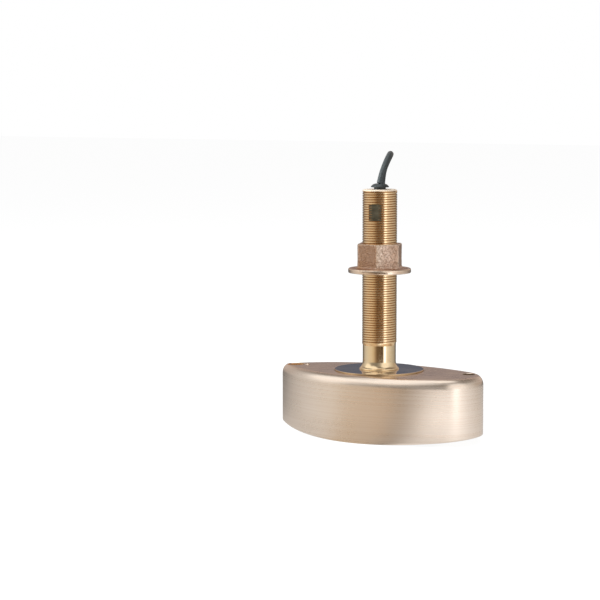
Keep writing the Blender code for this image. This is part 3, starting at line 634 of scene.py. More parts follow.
def hank_tie(name, node, x, bearing):
    t, w = 1.2 * MM, 4.8 * MM
    lo_x, hi_x, lo_z, hi_z = HANK_IN - 2 * GAP, HANK_OUT + GAP, H_LO - GAP, H_HI + GAP
    soft = 1.6 * MM
    path = []
    for cx, cz, a0 in ((hi_x - soft, hi_z - soft, 0), (lo_x + soft, hi_z - soft, 90),
                       (lo_x + soft, lo_z + soft, 180), (hi_x - soft, lo_z + soft, 270)):
        for k in range(9):
            a = math.radians(a0 + 90 * k / 8)
            path.append((cx + soft * math.cos(a), cz + soft * math.sin(a), math.cos(a), math.sin(a)))
    section = []
    for sx, sy, a0 in ((t - 0.3 * MM, w / 2 - 0.3 * MM, 0), (0.3 * MM, w / 2 - 0.3 * MM, 90),
                       (0.3 * MM, -w / 2 + 0.3 * MM, 180), (t - 0.3 * MM, -w / 2 + 0.3 * MM, 270)):
        for k in range(4):
            a = math.radians(a0 + 90 * k / 3)
            section.append((sx + 0.3 * MM * math.cos(a), sy + 0.3 * MM * math.sin(a)))
    rings = [[(x + nx * o, y, z + nz * o) for o, y in section] for x, z, nx, nz in path]
    ob = rings_piece(name, rings, M_TIE, 30, closed=True)
    bm = bmesh.new()
    bm.from_mesh(ob.data)
    # two rounded blocks on the top run: the head
    for sx, sy, sz, mx, mz in ((7.2, 6.6, 3.0, 34.0, 0.35), (2.2, 3.2, 3.6, 29.6, 0.1)):
        g = bmesh.ops.create_cube(bm, size=1.0)
        bmesh.ops.scale(bm, vec=(sx * MM, sy * MM, sz * MM), verts=g["verts"])
        bmesh.ops.translate(bm, vec=(mx * MM, 0, hi_z + mz * MM + t / 2), verts=g["verts"])
        bmesh.ops.bevel(bm, geom=list({e for v in g["verts"] for e in v.link_edges}), offset=0.5 * MM, segments=3,
                        affect="EDGES", clamp_overlap=True)
    bmesh.ops.recalc_face_normals(bm, faces=bm.faces)
    turn = Matrix.Translation((x, HANK_Y, 0)) @ Matrix.Rotation(math.radians(bearing), 4, "Z")
    bmesh.ops.transform(bm, matrix=turn, verts=bm.verts)
    bm.to_mesh(ob.data)
    bm.free()
    ob.data.shade_smooth()
    ob.data.set_sharp_from_angle(angle=math.radians(35))
    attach(ob, "transducer")
    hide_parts(node)
    return ob


ties = [hank_tie("tie_%d" % k, "hank_tie_%d" % k, x, b)
        for k, x, b in ((1, -10.0 * MM, -90), (2, HANK_X[1], 0), (3, -55.7 * MM, 90))]

# connector, turned about its own axis and laid along +X
PLUG = Matrix.Translation((PLUG_X, PLUG_Y, PLUG_Z)) @ Matrix.Rotation(math.pi / 2, 4, "Y")


def plug_piece(name, node, ob):
    ob.name = name
    ob.data.transform(PLUG)
    ob.data.shade_smooth()
    ob.data.set_sharp_from_angle(angle=math.radians(32))
    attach(ob, "transducer")
    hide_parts(node)
    return ob


def mm(pts):
    return [(r * MM, z * MM) for r, z in pts]


boot_profile = [(0.02, 0.0), (3.9, 0.0), (4.4, 0.5)]
for k in range(5):
    z = 3.0 + 3.4 * k
    r = 4.7 + 0.42 * k
    boot_profile += [(r, z), (r - 0.75, z + 0.35), (r - 0.75, z + 1.15), (r + 0.12, z + 1.5)]
boot_profile += [(7.3, 20.6), (7.6, 22.0), (7.6, 25.6), (7.2, 26.0), (0.02, 26.0)]
boot = plug_piece("boot", "connector_boot", lathe("boot", mm(boot_profile), M_BOOT, 48, 30))


def facets(a, r, z):
    """Six shallow finger flats round the body's grip."""
    if not 5.0 * MM < z - 26.3 * MM < 13.0 * MM or r < 9 * MM:
        return r
    return min(r, 9.25 * MM / max(0.2, math.cos((a + math.pi / 6) % (math.pi / 3) - math.pi / 6)))


body_profile = [(0.02, 26.3), (8.6, 26.3), (9.4, 26.9), (9.8, 28.2), (9.8, 31.0), (9.6, 31.5), (9.6, 39.0), (9.8, 39.5),
                (9.8, 42.2), (9.4, 42.7), (8.4, 42.9), (8.4, 51.8), (8.0, 52.3), (0.02, 52.3)]
plug_body = plug_piece("plug_body", "connector_body", lathe("plug_body", mm(body_profile), M_SHELL, 72, 30, None, facets))


def knurl(a, r, z):
    if r < 10.6 * MM or not 46.0 * MM < z < 59.6 * MM:
        return r
    return r - 0.42 * MM * (0.5 + 0.5 * math.cos(30 * a)) ** 2


ring_profile = [(8.8, 44.0), (10.2, 44.0), (10.8, 44.5), (10.98, 45.2), (10.98, 46.4), (10.98, 48), (10.98, 50), (10.98, 52),
                (10.98, 54), (10.98, 56), (10.98, 58), (10.98, 59.2), (10.98, 60.6), (10.7, 61.8), (10.2, 63.0), (9.3, 63.0),
                (9.1, 62.6), (8.8, 61.8)]
plug_ring = plug_piece("plug_ring", "connector_ring", lathe("plug_ring", mm(ring_profile), M_SHELL, 240, 40, None, knurl))

insert = lathe("plug_insert", mm([(0.02, 60.4), (6.5, 60.4), (6.8, 60.1), (6.8, 52.6), (0.02, 52.6)]), [M_INSERT, M_CONTACT], 64, 30)
bm = bmesh.new()
bm.from_mesh(insert.data)
pins = [(0.0, 0.0)] + [(4.1 * MM * math.cos(2 * math.pi * k / 6), 4.1 * MM * math.sin(2 * math.pi * k / 6)) for k in range(6)]
for x, y in pins:
    g = bmesh.ops.create_cone(bm, cap_ends=True, segments=20, radius1=0.85 * MM, radius2=0.85 * MM, depth=1.4 * MM)
    bmesh.ops.translate(bm, vec=(x, y, 60.6 * MM), verts=g["verts"])
    tip = [e for v in g["verts"] for e in v.link_edges if all(q.co.z > 61.2 * MM for q in e.verts)]
    bmesh.ops.bevel(bm, geom=list(set(tip)), offset=0.25 * MM, segments=3, affect="EDGES")
for f in bm.faces:
    c = f.calc_center_median()
    if c.z > 60.0 * MM and any((c.x - x) ** 2 + (c.y - y) ** 2 < (0.95 * MM) ** 2 for x, y in pins) and \
            max(v.co.z for v in f.verts) > 60.45 * MM:
        f.material_index = 1
bm.to_mesh(insert.data)
bm.free()
plug_insert = plug_piece("plug_insert", "connector_insert", insert)


# ------------------------------------------------------------------- housing
def arc_data(re):
    xc = HALF_LEN - re
    big = (xc * xc + HALF_WID ** 2 - re * re) / (2 * (HALF_WID - re))
    return xc, big, math.atan2(big - HALF_WID, xc)


def plan_outline(n_end_l, n_end_r, n_side):
    pts = []
    for re, sign, n_end in ((END_R_RIGHT, 1, n_end_r), (END_R_LEFT, -1, n_end_l)):
        xc, big, t0 = arc_data(re)
        quarter = []
        h = n_end // 2
        for i in range(h):
            a = t0 * i / h
            quarter.append((xc + re * math.cos(a), re * math.sin(a), a))
        for i in range(n_side + 1):
            a = t0 + (math.pi / 2 - t0) * i / n_side
            quarter.append((big * math.cos(a), big * math.sin(a) - (big - HALF_WID), a))
        if sign > 0:
            pts += [((x, y), (math.cos(a), math.sin(a))) for x, y, a in quarter]
        else:
            back = [((-x, y), (-math.cos(a), math.sin(a))) for x, y, a in reversed(quarter)]
            pts += back[1:]
    lower = [((x, -y), (nx, -ny)) for (x, y), (nx, ny) in reversed(pts[1:-1])]
    return pts + lower


def bow(x):
    return BOW * (x / HALF_LEN) ** 2


def inner_y(x, t):
    re = END_R_RIGHT if x > 0 else END_R_LEFT
    _, big, _ = arc_data(re)
    return math.sqrt((big - t) ** 2 - x * x) - (big - HALF_WID)


def cavity_outline(t, x0, x1, n=60):
    up = [(x1 + (x0 - x1) * i / n, inner_y(x1 + (x0 - x1) * i / n, t)) for i in range(n + 1)]
    return up + [(x, -y) for x, y in reversed(up)]


OUTLINE = plan_outline(36, 56, 44)


def housing_ring(t, z_of):
    return [(x - nx * t, y - ny * t, z_of(x)) for (x, y), (nx, ny) in OUTLINE]


rings, worn = [], []
for k in range(7):
    a = math.pi / 2 * (1 - k / 6)
    rings.append(housing_ring(BOTTOM_ROUND * (1 - math.cos(a)), lambda x, a=a: bow(x) + BOTTOM_ROUND * (1 - math.sin(a))))
    worn.append(0.9 * math.sin(2 * a) ** 2)
for k in range(15):
    a = math.pi / 2 * k / 14
    z = HOUSING_H - SHOULDER * (1 - math.sin(a))
    rings.append(housing_ring(TOP_FILLET * (1 - math.cos(a)), lambda x, z=z: z))
    worn.append(0.8 * math.sin(2 * a) ** 4)
rings.append(housing_ring(TOP_FILLET + 0.4 * MM, lambda x: HOUSING_H))
worn.append(0.0)
n = len(OUTLINE)
verts = [p for ring in rings for p in ring]
faces = []
for k in range(len(rings) - 1):
    for i in range(n):
        j = (i + 1) % n
        faces.append((k * n + i, k * n + j, (k + 1) * n + j, (k + 1) * n + i))
faces.append(tuple((len(rings) - 1) * n + i for i in range(n)))
for i in range(n // 2):                                         # the bowed underside, in strips across
    loop = []
    for v in (i, i + 1, (n - i - 1) % n, (n - i) % n):
        if v not in loop:
            loop.append(v)
    if len(loop) > 2:
        faces.append(tuple(loop))
housing = mesh_piece("housing_body", verts, faces, M_HOUSING, 40, {"wear": np.repeat(worn, n)})
fix_normals(housing)


def prism(name, outline, z0, z1):
    m = len(outline)
    return_obj = mesh_piece(name, [(x, y, z0) for x, y in outline] + [(x, y, z1) for x, y in outline],
                            [tuple(range(m)), tuple(range(m, 2 * m))] + [(i, (i + 1) % m, m + (i + 1) % m, m + i) for i in range(m)],
                            M_HOUSING)
    fix_normals(return_obj)
    return return_obj


def hole_tool(name, hx, hy, hr, mat):
    low = HOUSING_H - HOLE_DEPTH
    prof = [(0.001 * MM, 80 * MM), (hr + 17.0 * MM, 80 * MM), (hr + 0.55 * MM, HOUSING_H + 0.05 * MM), (hr, HOUSING_H - 0.55 * MM),
            (hr, low + 0.6 * MM), (hr - 0.6 * MM, low), (BOLT_R + 0.5 * MM, low), (BOLT_R, low - 0.5 * MM),
            (BOLT_R, -20 * MM), (0.001 * MM, -20 * MM)]
    ob = lathe(name, prof, [M_HOUSING, mat], 72, ring_mats=[0, 0, 0, 1, 1, 1, 1, 1, 0, 0])
    ob.data.transform(Matrix.Translation((hx, hy, 0)))
    return ob


tools = [prism("t_cavity", cavity_outline(WALL, CAVITY_X0, CAVITY_X1), -20 * MM, CAVITY_TOP),
         lathe("t_recess", [(0.001 * MM, 80 * MM), (BASE_R + 15.6 * MM, 80 * MM), (BASE_R + 0.6 * MM, HOUSING_H + 0.1 * MM),
                            (BASE_R + GAP, HOUSING_H - 0.3 * MM), (BASE_R + GAP, RECESS_Z), (SPIGOT_R + GAP, RECESS_Z),
                            (SPIGOT_R + GAP, 50 * MM), (0.001 * MM, 50 * MM)], M_HOUSING, 128),
         # the right recess takes the darker bore colours: painted shade
         hole_tool("t_left", *HOLE_L, M_BORE), hole_tool("t_right", *HOLE_R, M_BORE_SHADE)]
boss_prof = [(0.001 * MM, HOUSING_H + 1.3 * MM), (0.7 * MM, HOUSING_H + 1.26 * MM), (1.4 * MM, HOUSING_H + 1.06 * MM),
             (2.0 * MM, HOUSING_H + 0.7 * MM), (2.4 * MM, HOUSING_H + 0.3 * MM), (BOSS[2], HOUSING_H + 0.02 * MM),
             (BOSS[2], HOUSING_H - 2 * MM), (0.001 * MM, HOUSING_H - 2 * MM)]
boss = lathe("t_boss", boss_prof, M_HOUSING, 40)
boss.data.transform(Matrix.Translation((BOSS[0], BOSS[1], 0)))
cut(housing, tools)
cut(housing, [boss], "UNION")
housing.data.shade_smooth()
housing.data.set_sharp_from_angle(angle=math.radians(34))
wn = housing.modifiers.new("even_shading", "WEIGHTED_NORMAL")
wn.keep_sharp = True
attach(housing, "transducer")
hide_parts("housing")

# acoustic window, its face a little proud in the middle and rounded down to the wall
edge = [(0.9, 0.0), (0.45, 0.12), (0.15, 0.42), (0.0, 0.9)]
rings = []
for inset, rise in edge:
    o = cavity_outline(WALL + GAP + inset * MM, CAVITY_X0 + GAP + inset * MM, CAVITY_X1 - GAP - inset * MM, 40)
    rings.append([(x, y, bow(x) + (0.3 + rise) * MM) for x, y in o])
rings.append([(x, y, 12.0 * MM) for x, y in cavity_outline(WALL + GAP, CAVITY_X0 + GAP, CAVITY_X1 - GAP, 40)])
m = len(rings[0])
verts = [p for r in rings for p in r]
faces = [(k * m + i, k * m + (i + 1) % m, (k + 1) * m + (i + 1) % m, (k + 1) * m + i)
         for k in range(len(rings) - 1) for i in range(m)]
faces += [(i, i + 1, m - i - 2, m - i - 1) for i in range(m // 2 - 1)]
faces.append(tuple((len(rings) - 1) * m + i for i in range(m)))
window = mesh_piece("window", verts, faces, M_WINDOW, 30)
fix_normals(window)
sensor_hole = lathe("t_sensor", [(0.001 * MM, 20 * MM), (2.8 * MM, 20 * MM), (2.8 * MM, -10 * MM), (0.001 * MM, -10 * MM)], M_WINDOW, 32)
sensor_hole.data.transform(Matrix.Translation((10 * MM, -40 * MM, 0)))
cut(window, [sensor_hole])
window.data.shade_smooth()
window.data.set_sharp_from_angle(angle=math.radians(30))
window.modifiers.new("even_shading", "WEIGHTED_NORMAL").keep_sharp = True
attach(window, "transducer")
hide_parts("acoustic_window")


# ---------------------------------------------------------------------- stem
THREAD = [(0.00, 0.0), (0.28, 0.0), (0.56, 0.0), (0.595, 0.09), (0.73, 0.90), (0.77, 1.0), (0.82, 1.0), (0.86, 0.90), (0.985, 0.06)]


def threaded_stem():
    """One skin: a helical strip, one thread wide, wound up the stem and closed on plain rings."""
    per, z0 = 96, THREAD_LOW - 1.0 * MM
    turns = int((STEM_TOP - 1.4 * MM - z0) / THREAD_PITCH) - 1
    count, prof = per * turns, len(THREAD)
    z0 += STEM_TOP - 1.4 * MM - z0 - (turns + 1) * THREAD_PITCH
    fade = per * 0.35
    # each vertex keeps how deep in a valley it lies, for the painted shade in the stem's bronze
    verts, valley_shade_mask, grid = [], [], {}

    def add(x, y, z, r=0.0):
        verts.append((x, y, z))
        valley_shade_mask.append(r)
        return len(verts) - 1

    def cell(s, j):
        """Vertex at strip position s and profile step j."""
        if j == prof:
            return cell(s + per, 0)
        if (s, j) not in grid:
            u, h = THREAD[j]
            z = z0 + THREAD_PITCH * (s / per + u)
            up = min(1.0, max(0.0, (s - 0.05 * per) / fade))
            down = min(1.0, max(0.0, (count + 0.45 * per - s) / fade))
            k = smooth01(min(up, down))
            base = SHANK_R + (THREAD_R - SHANK_R) * smooth01((s / per) / 0.6)
            r = base - THREAD_DEPTH * h * k
            a = 2 * math.pi * s / per
            grid[(s, j)] = add(r * math.cos(a), r * math.sin(a), z, h * k)
        return grid[(s, j)]

    faces = []
    for s in range(count):
        for j in range(prof):
            faces.append((cell(s, j), cell(s + 1, j), cell(s + 1, j + 1), cell(s, j + 1)))
    for k in range(per + 1):                       # the top edge of the last turn
        cell(count + k, 0)
    # plain rings above and below
    soft = 0.35 * MM
    top = [(THREAD_R, STEM_TOP - 1.25 * MM), (THREAD_R - 0.3 * MM, STEM_TOP - 0.72 * MM), (THREAD_R - 0.8 * MM, STEM_TOP - 0.3 * MM),
           (THREAD_R - 1.6 * MM, STEM_TOP), (BORE_R + soft, STEM_TOP), (BORE_R, STEM_TOP - soft), (BORE_R, SPIGOT_LOW + soft),
           (BORE_R + soft, SPIGOT_LOW), (SPIGOT_R - soft, SPIGOT_LOW), (SPIGOT_R, SPIGOT_LOW + soft), (SPIGOT_R, RECESS_Z + GAP),
           (BASE_R - soft, RECESS_Z + GAP), (BASE_R, RECESS_Z + GAP + soft), (BASE_R, BASE_TOP - 0.5 * MM),
           (BASE_R - 0.15 * MM, BASE_TOP - 0.15 * MM), (BASE_R - 0.5 * MM, BASE_TOP), (BASE_R - 0.9 * MM, BASE_TOP),
           (19.3 * MM, BASE_TOP), (18.95 * MM, BASE_TOP + 0.06 * MM), (18.78 * MM, BASE_TOP + 0.25 * MM),
           (18.92 * MM, BASE_TOP + 0.6 * MM), (18.9 * MM, BASE_TOP + 1.0 * MM)]
    for k in range(13):                            # the concave foot
        a = math.pi / 2 * (1 - k / 12)
        a -= 0.09 * (1 - k / 12)
        top.append((SHANK_R + 2.9 * MM * (1 - math.cos(a)), 74.0 * MM - 7.4 * MM * math.sin(a)))
    top += [(SHANK_R, 76 * MM), (SHANK_R, 80 * MM), (SHANK_R, 84 * MM), (SHANK_R, SHANK_TOP)]
    plain_rings = [[add(r * math.cos(2 * math.pi * i / per), r * math.sin(2 * math.pi * i / per), z) for i in range(per)]
                   for r, z in top]
    thread_faces = len(faces)
    ring_face = []
    for k in range(len(plain_rings) - 1):
        a, b = plain_rings[k], plain_rings[k + 1]
        for i in range(per):
            j = (i + 1) % per
            faces.append((a[i], a[j], b[j], b[i]))
            ring_face.append(k)
    # joins: last turn to the first ring, and the last ring to the first turn
    first, last = plain_rings[0], plain_rings[-1]
    for i in range(per):
        j = (i + 1) % per
        a, b = cell(count + i, 0), cell(count + i + 1, 0)
        if i == 0:
            seam = [cell(count, q) for q in range(1, prof)] + [cell(count + per, 0)]
            faces.append((a, b, first[j], first[i], *reversed(seam)))
        else:
            faces.append((a, b, first[j], first[i]))
        ring_face.append(-1)
        a, b = cell(i, 0), cell(i + 1, 0)
        if i == per - 1:
            seam = [cell(0, q) for q in range(1, prof)]
            faces.append((last[i], last[j], cell(0, 0), *seam, b, a))
        else:
            faces.append((last[i], last[j], b, a))
        ring_face.append(-1)
    kinds = [0] * thread_faces
    for k in ring_face:
        if 0 <= k <= 3:
            # chamfered end, pale: painted highlight
            kinds.append(5)                        # chamfered end
        elif k == -1 or k <= 4:
            kinds.append(0)
        elif 14 <= k <= 16:
            kinds.append(2)                        # the polished face of the base
        elif k >= 17:
            kinds.append(1)                        # foot and plain shank
        elif 10 <= k <= 13:
            # the base's side, darker: painted shade
            kinds.append(3)
        else:
            kinds.append(0)
    ob = mesh_piece("stem_body", verts, faces, [M_STEM, M_SHANK, M_DISC, M_SHADED_EDGE, M_FLAT, M_END_HIGHLIGHT], 42, {"valley_shade_mask": valley_shade_mask}, kinds)
    fix_normals(ob)
    return ob


stem = threaded_stem()
flat_tool = mesh_piece("t_flat", [(x, y, z) for x in (FLAT_DIST + 0.2 * MM, 30 * MM) for y in (-14 * MM, 14 * MM) for z in FLAT_Z],
                       [(0, 1, 3, 2), (4, 6, 7, 5), (0, 4, 5, 1), (2, 3, 7, 6), (0, 2, 6, 4), (1, 5, 7, 3)], M_FLAT)
flat_tool.data.transform(Matrix.Rotation(FLAT_DIR, 4, "Z"))
fix_normals(flat_tool)
mod = stem.modifiers.new("cut", "BOOLEAN")
mod.operation, mod.solver, mod.object = "DIFFERENCE", "EXACT", flat_tool
mod.material_mode = "TRANSFER"
apply_modifiers(stem)
bpy.data.objects.remove(flat_tool, do_unlink=True)
stem.data.shade_smooth()
stem.data.set_sharp_from_angle(angle=math.radians(30))
for e in stem.data.edges:                                        # the shank shades apart from the first turn
    if all(abs(stem.data.vertices[v].co.z - SHANK_TOP) < 0.01 * MM and stem.data.vertices[v].co.xy.length < THREAD_R
           for v in e.vertices):
        e.use_edge_sharp = True
stem.modifiers.new("even_shading", "WEIGHTED_NORMAL").keep_sharp = True
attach(stem, "transducer")
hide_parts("stem")

# ------------------------------------------------------------------ hull nut
CORNER = 2.4 * MM


def hex_radius(a, flat=HEX_FLAT):
    f = (a + math.pi / 6) % (math.pi / 3) - math.pi / 6
    centre = (flat - CORNER) / math.cos(math.pi / 6)
    s = math.sin(abs(f)) * centre
    limit = math.atan2(CORNER * math.sin(math.pi / 6), centre + CORNER * math.cos(math.pi / 6))
    if abs(f) <= limit:
        return centre * math.cos(f) + math.sqrt(max(CORNER ** 2 - s ** 2, 0.0))
    return flat / math.cos(math.pi / 6 - abs(f))


NUT_N = 288


def lumps(x, y, z, scale, size):
    return size * noise.noise(Vector((x, y, z)) * scale)


rings, wear_and_highlight_of, corner_of, stain_and_shade_of = [], [], [], []
STAIN_AND_SHADE = (0.3, 0.5, 0.2, 0.95, 0.0, 0.6)                         # how brown each face of the hexagon is: some stain, and painted shade by how each face meets the light


def nut_ring(z, radius, w=0.0, rough=1.0):
    ring = []
    for i in range(NUT_N):
        a = 2 * math.pi * i / NUT_N
        r = radius(a)
        ang = a + HEX_TURN
        x, y = r * math.cos(ang), r * math.sin(ang)
        r += rough * (lumps(x, y, z, 95, 0.18 * MM) + lumps(x, y, z, 300, 0.13 * MM) + lumps(x, y, z, 640, 0.06 * MM)) - 0.14 * MM * rough
        ring.append((r * math.cos(ang), r * math.sin(ang), z + rough * lumps(x, y, z + 0.3, 140, 0.05 * MM)))
        corner = max(0.0, 1 - abs(((a + math.pi / 6) % (math.pi / 3) - math.pi / 6)) / math.radians(6.5))
        on_hex = z > FLANGE_TOP + 2 * MM and rough > 0
        across = a / (math.pi / 3) % 1.0 if on_hex and int(a // (math.pi / 3)) % 6 == 4 else 0.4   # one face, left to right
        # wear, and on the one face a painted highlight over its left part
        wear_and_highlight_of.append(min(1.0, w + 0.5 * max(0.0, 1 - across / 0.4)))
        corner_of.append(corner if on_hex else 0.0)
        corner_dark = corner if int(a / (math.pi / 3) + 0.5) % 6 == 4 else 0.0            # darker along one corner
        # on the one face, browner towards its right edge: painted shade
        stain_and_shade_of.append(STAIN_AND_SHADE[int(a // (math.pi / 3)) % 6] * (1 - corner) + corner_dark + 0.55 * smooth01((across - 0.5) / 0.4) * (1 - corner)
                        if on_hex else 0.3)
    rings.append(ring)


nut_ring(NUT_LOW, lambda a: NUT_BORE + 0.7 * MM, 0.2, 0.0)
for r_ in (20.0, 23.5, 27.0, 28.8):
    nut_ring(NUT_LOW, lambda a, r_=r_: r_ * MM, 0.15, 0.0)
RIM_FROM = len(rings)
for r_, z_ in arc(FLANGE_R / MM - 0.9, NUT_LOW / MM + 0.9, 0.9, -90, 0, 5):
    nut_ring(z_ * MM, lambda a, r_=r_: r_ * MM, 0.5, 0.3)
nut_ring(NUT_LOW + 2.2 * MM, lambda a: FLANGE_R, 0.15, 0.35)
for r_, z_ in arc(FLANGE_R / MM - 1.2, FLANGE_TOP / MM - 1.2, 1.2, 0, 90, 6):
    nut_ring(z_ * MM, lambda a, r_=r_: r_ * MM, 0.5, 0.5)
RIM_TO = len(rings)
for f in (0.2, 0.45, 0.7, 0.88):
    nut_ring(FLANGE_TOP + 0.25 * MM * f,
             lambda a, f=f: (FLANGE_R - 1.2 * MM) * (1 - f) + (hex_radius(a) + 2.5 * MM) * f, 0.0)
for k in range(7):                                               # cove into the hexagon
    t = math.pi / 2 * k / 6
    nut_ring(FLANGE_TOP + 0.25 * MM + 2.6 * MM * (1 - math.cos(t)), lambda a, t=t: hex_radius(a) + 2.4 * MM * (1 - math.sin(t)))
for z_ in np.linspace(166.0, 184.5, 33):
    nut_ring(z_ * MM, hex_radius)
for k in range(7):
    t = math.pi / 2 * k / 6
    nut_ring(NUT_TOP - 1.1 * MM * (1 - math.sin(t)), lambda a, t=t: hex_radius(a) - 1.1 * MM * (1 - math.cos(t)), 0.8 * math.sin(2 * t))
nut_ring(NUT_TOP, lambda a: 0.5 * (hex_radius(a) - 1.1 * MM) + 0.5 * (NUT_BORE + 0.9 * MM), 0.1)
nut_ring(NUT_TOP, lambda a: NUT_BORE + 0.9 * MM, 0.2, 0.0)
nut_ring(NUT_TOP - 0.35 * MM, lambda a: NUT_BORE + 0.3 * MM, 0.4, 0.0)
# inner thread, read as rings, in step with the stem's
k, z = 0, NUT_TOP - 1.2 * MM
while z > NUT_LOW + 1.2 * MM:
    nut_ring(z, lambda a: NUT_BORE + (0.45 * MM if k % 2 else 0.0), 0.0, 0.0)
    z -= THREAD_PITCH / 2
    k += 1
nut_ring(NUT_LOW + 0.5 * MM, lambda a: NUT_BORE + 0.2 * MM, 0.2, 0.0)
nut = rings_piece("nut_body", rings, [M_NUT, M_RIM], 38, closed=True, attrs={"wear": wear_and_highlight_of, "corner": corner_of, "stain_and_shade": stain_and_shade_of},
                  ring_mats=[1 if RIM_FROM <= k < RIM_TO - 1 else 0 for k in range(len(rings))])
fix_normals(nut)
nut.data.shade_smooth()
nut.data.set_sharp_from_angle(angle=math.radians(48))
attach(nut, "nut")
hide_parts("hull_nut")

# ------------------------------------------------------------------- grommet
g = [(3.25, 241.8), (3.25, 243.1), (3.5, 243.42), (3.9, 243.5), (4.7, 243.38), (5.7, 243.08), (6.7, 242.6), (7.5, 242.0),
     (8.15, 241.3), (8.6, 240.7), (8.78, 240.3), (8.72, 240.05), (8.45, 239.93), (8.0, 239.98), (6.6, 240.2), (5.9, 240.25),
     (5.7, 240.1), (5.64, 239.6), (5.64, 239.0), (5.66, 238.3), (5.7, 237.6), (5.7, 226.0), (3.6, 226.0), (3.6, 241.0)]
grommet = lathe("grommet", mm(g), M_GROMMET, 96, 50)
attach(grommet, "transducer")
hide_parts("cable_grommet")

# ------------------------------------------------- finishes on the CAD parts
for node, mat in (("cable_in_stem", M_JACKET), ("stem_potting", M_RESIN), ("potting", M_RESIN), ("element_tray", M_CORK),
                  ("array_foam", M_CORK), ("disc_foam", M_CORK), ("ceramic_200khz", M_CERAMIC), ("transformer_core", M_FERRITE),
                  ("transformer_winding", M_COPPER), ("terminal_board", M_BOARD), ("lead_50khz", M_LEAD),
                  ("lead_200khz", M_LEAD), ("thermistor", M_SENSOR),
                  *[("ceramic_50khz_%d" % k, M_CERAMIC) for k in range(1, 8)]):
    me = NODES[node].data
    me.materials.clear()
    me.materials.append(mat)

# --------------------------------------------------------- floor, light, sky
# A white sweep. What the metal mirrors is set by compass bearing: soft from the left, warm in front,
# dark flags beyond, a tall softbox to their right and a dim room behind.
def bearing(deg):
    return (deg + 180.0) / 360.0


def compass(tree, vec):
    """0 to 1 once round the compass from -X, for a vector or a place."""
    sep = tree.nodes.new("ShaderNodeSeparateXYZ")
    tree.links.new(vec, sep.inputs[0])
    at = tree.nodes.new("ShaderNodeMath")
    at.operation = "ARCTAN2"
    tree.links.new(sep.outputs[1], at.inputs[0])
    tree.links.new(sep.outputs[0], at.inputs[1])
    unit = tree.nodes.new("ShaderNodeMath")
    unit.operation = "MULTIPLY_ADD"
    tree.links.new(at.outputs[0], unit.inputs[0])
    unit.inputs[1].default_value = 1 / (2 * math.pi)
    unit.inputs[2].default_value = 0.5
    return unit.outputs[0], sep


def sky_ramp(tree, fac, stops):
    n = tree.nodes.new("ShaderNodeValToRGB")
    e = n.color_ramp.elements
    while len(e) < len(stops):
        e.new(0.5)
    for el, (deg, col) in zip(e, stops):
        el.position = bearing(deg)
        col = col if hasattr(col, "__len__") else (col, col, col)
        el.color = (*[c / 2.0 for c in col], 1.0)
    tree.links.new(fac, n.inputs["Fac"])
    gain = tree.nodes.new("ShaderNodeVectorMath")
    gain.operation = "SCALE"
    gain.inputs["Scale"].default_value = 2.0
    tree.links.new(n.outputs["Color"], gain.inputs[0])
    return gain.outputs[0]


def blend(tree, fac, a, b):
    n = tree.nodes.new("ShaderNodeMix")
    n.data_type = "VECTOR"
    tree.links.new(fac, n.inputs[0])
    for sock, x in ((n.inputs[4], a), (n.inputs[5], b)):
        if isinstance(x, tuple):
            sock.default_value = x
        else:
            tree.links.new(x, sock)
    return n.outputs[1]


def ease_range(tree, val, lo, hi):
    n = tree.nodes.new("ShaderNodeMapRange")
    n.interpolation_type = "SMOOTHSTEP"
    tree.links.new(val, n.inputs["Value"])
    n.inputs["From Min"].default_value = lo
    n.inputs["From Max"].default_value = hi
    return n.outputs["Result"]


# seen in the floor close by (the housing wall), in the floor far off (the stem) and low in the room
NEAR = [(-180, 0.60), (-158, 0.76), (-138, (0.78, 0.76, 0.72)), (-116, (0.76, 0.665, 0.555)), (-97, (0.81, 0.675, 0.54)),
        (-86, (0.78, 0.65, 0.52)), (-77, (0.48, 0.42, 0.355)), (-67, (0.98, 0.95, 0.92)), (-58, (1.72, 1.77, 1.84)),
        (-20, (1.42, 1.47, 1.54)), (6, (1.02, 1.05, 1.10)), (36, 0.80), (75, 0.60), (118, 0.38), (158, 0.31), (180, 0.60)]
CLOSE = [(-180, 0.64), (-140, 0.69), (-112, (0.65, 0.57, 0.47)), (-84, (0.63, 0.54, 0.44)), (-60, (0.42, 0.39, 0.36)),
         (-44, (0.88, 0.88, 0.89)), (0, 0.72), (60, 0.54), (120, 0.50), (180, 0.64)]
FAR = [(-180, 0.60), (-160, 0.74), (-138, (0.82, 0.79, 0.73)), (-116, (0.80, 0.74, 0.65)), (-102, (0.69, 0.60, 0.48)),
       (-90, (0.43, 0.34, 0.25)), (-78, (0.18, 0.125, 0.08)), (-50, (0.135, 0.095, 0.06)), (-37, (0.13, 0.095, 0.065)), (-32, (1.00, 1.03, 1.08)),
       (-28, (2.15, 2.30, 2.50)), (-20, (2.15, 2.30, 2.50)), (-11, (1.02, 1.04, 1.08)), (8, 0.82), (30, 0.65), (60, 0.45), (80, 0.20),
       (118, 0.13), (158, 0.20), (180, 0.60)]
ROOM = [(-180, 0.66), (-158, 0.80), (-138, 0.76), (-118, 0.34), (-80, 0.26), (-58, 0.42), (-36, 1.20), (-8, 1.20), (20, 0.80),
        (50, (0.54, 0.50, 0.46)), (80, (0.52, 0.45, 0.41)), (103, (0.66, 0.55, 0.49)), (110, (0.125, 0.135, 0.170)),
        (126, (0.125, 0.135, 0.170)), (133, (0.66, 0.55, 0.49)), (158, (0.50, 0.45, 0.42)), (180, 0.66)]
TOWARD = Vector((math.sin(VIEW), -math.cos(VIEW), 0.0))
RIGHT = Vector((math.cos(VIEW), math.sin(VIEW), 0.0))

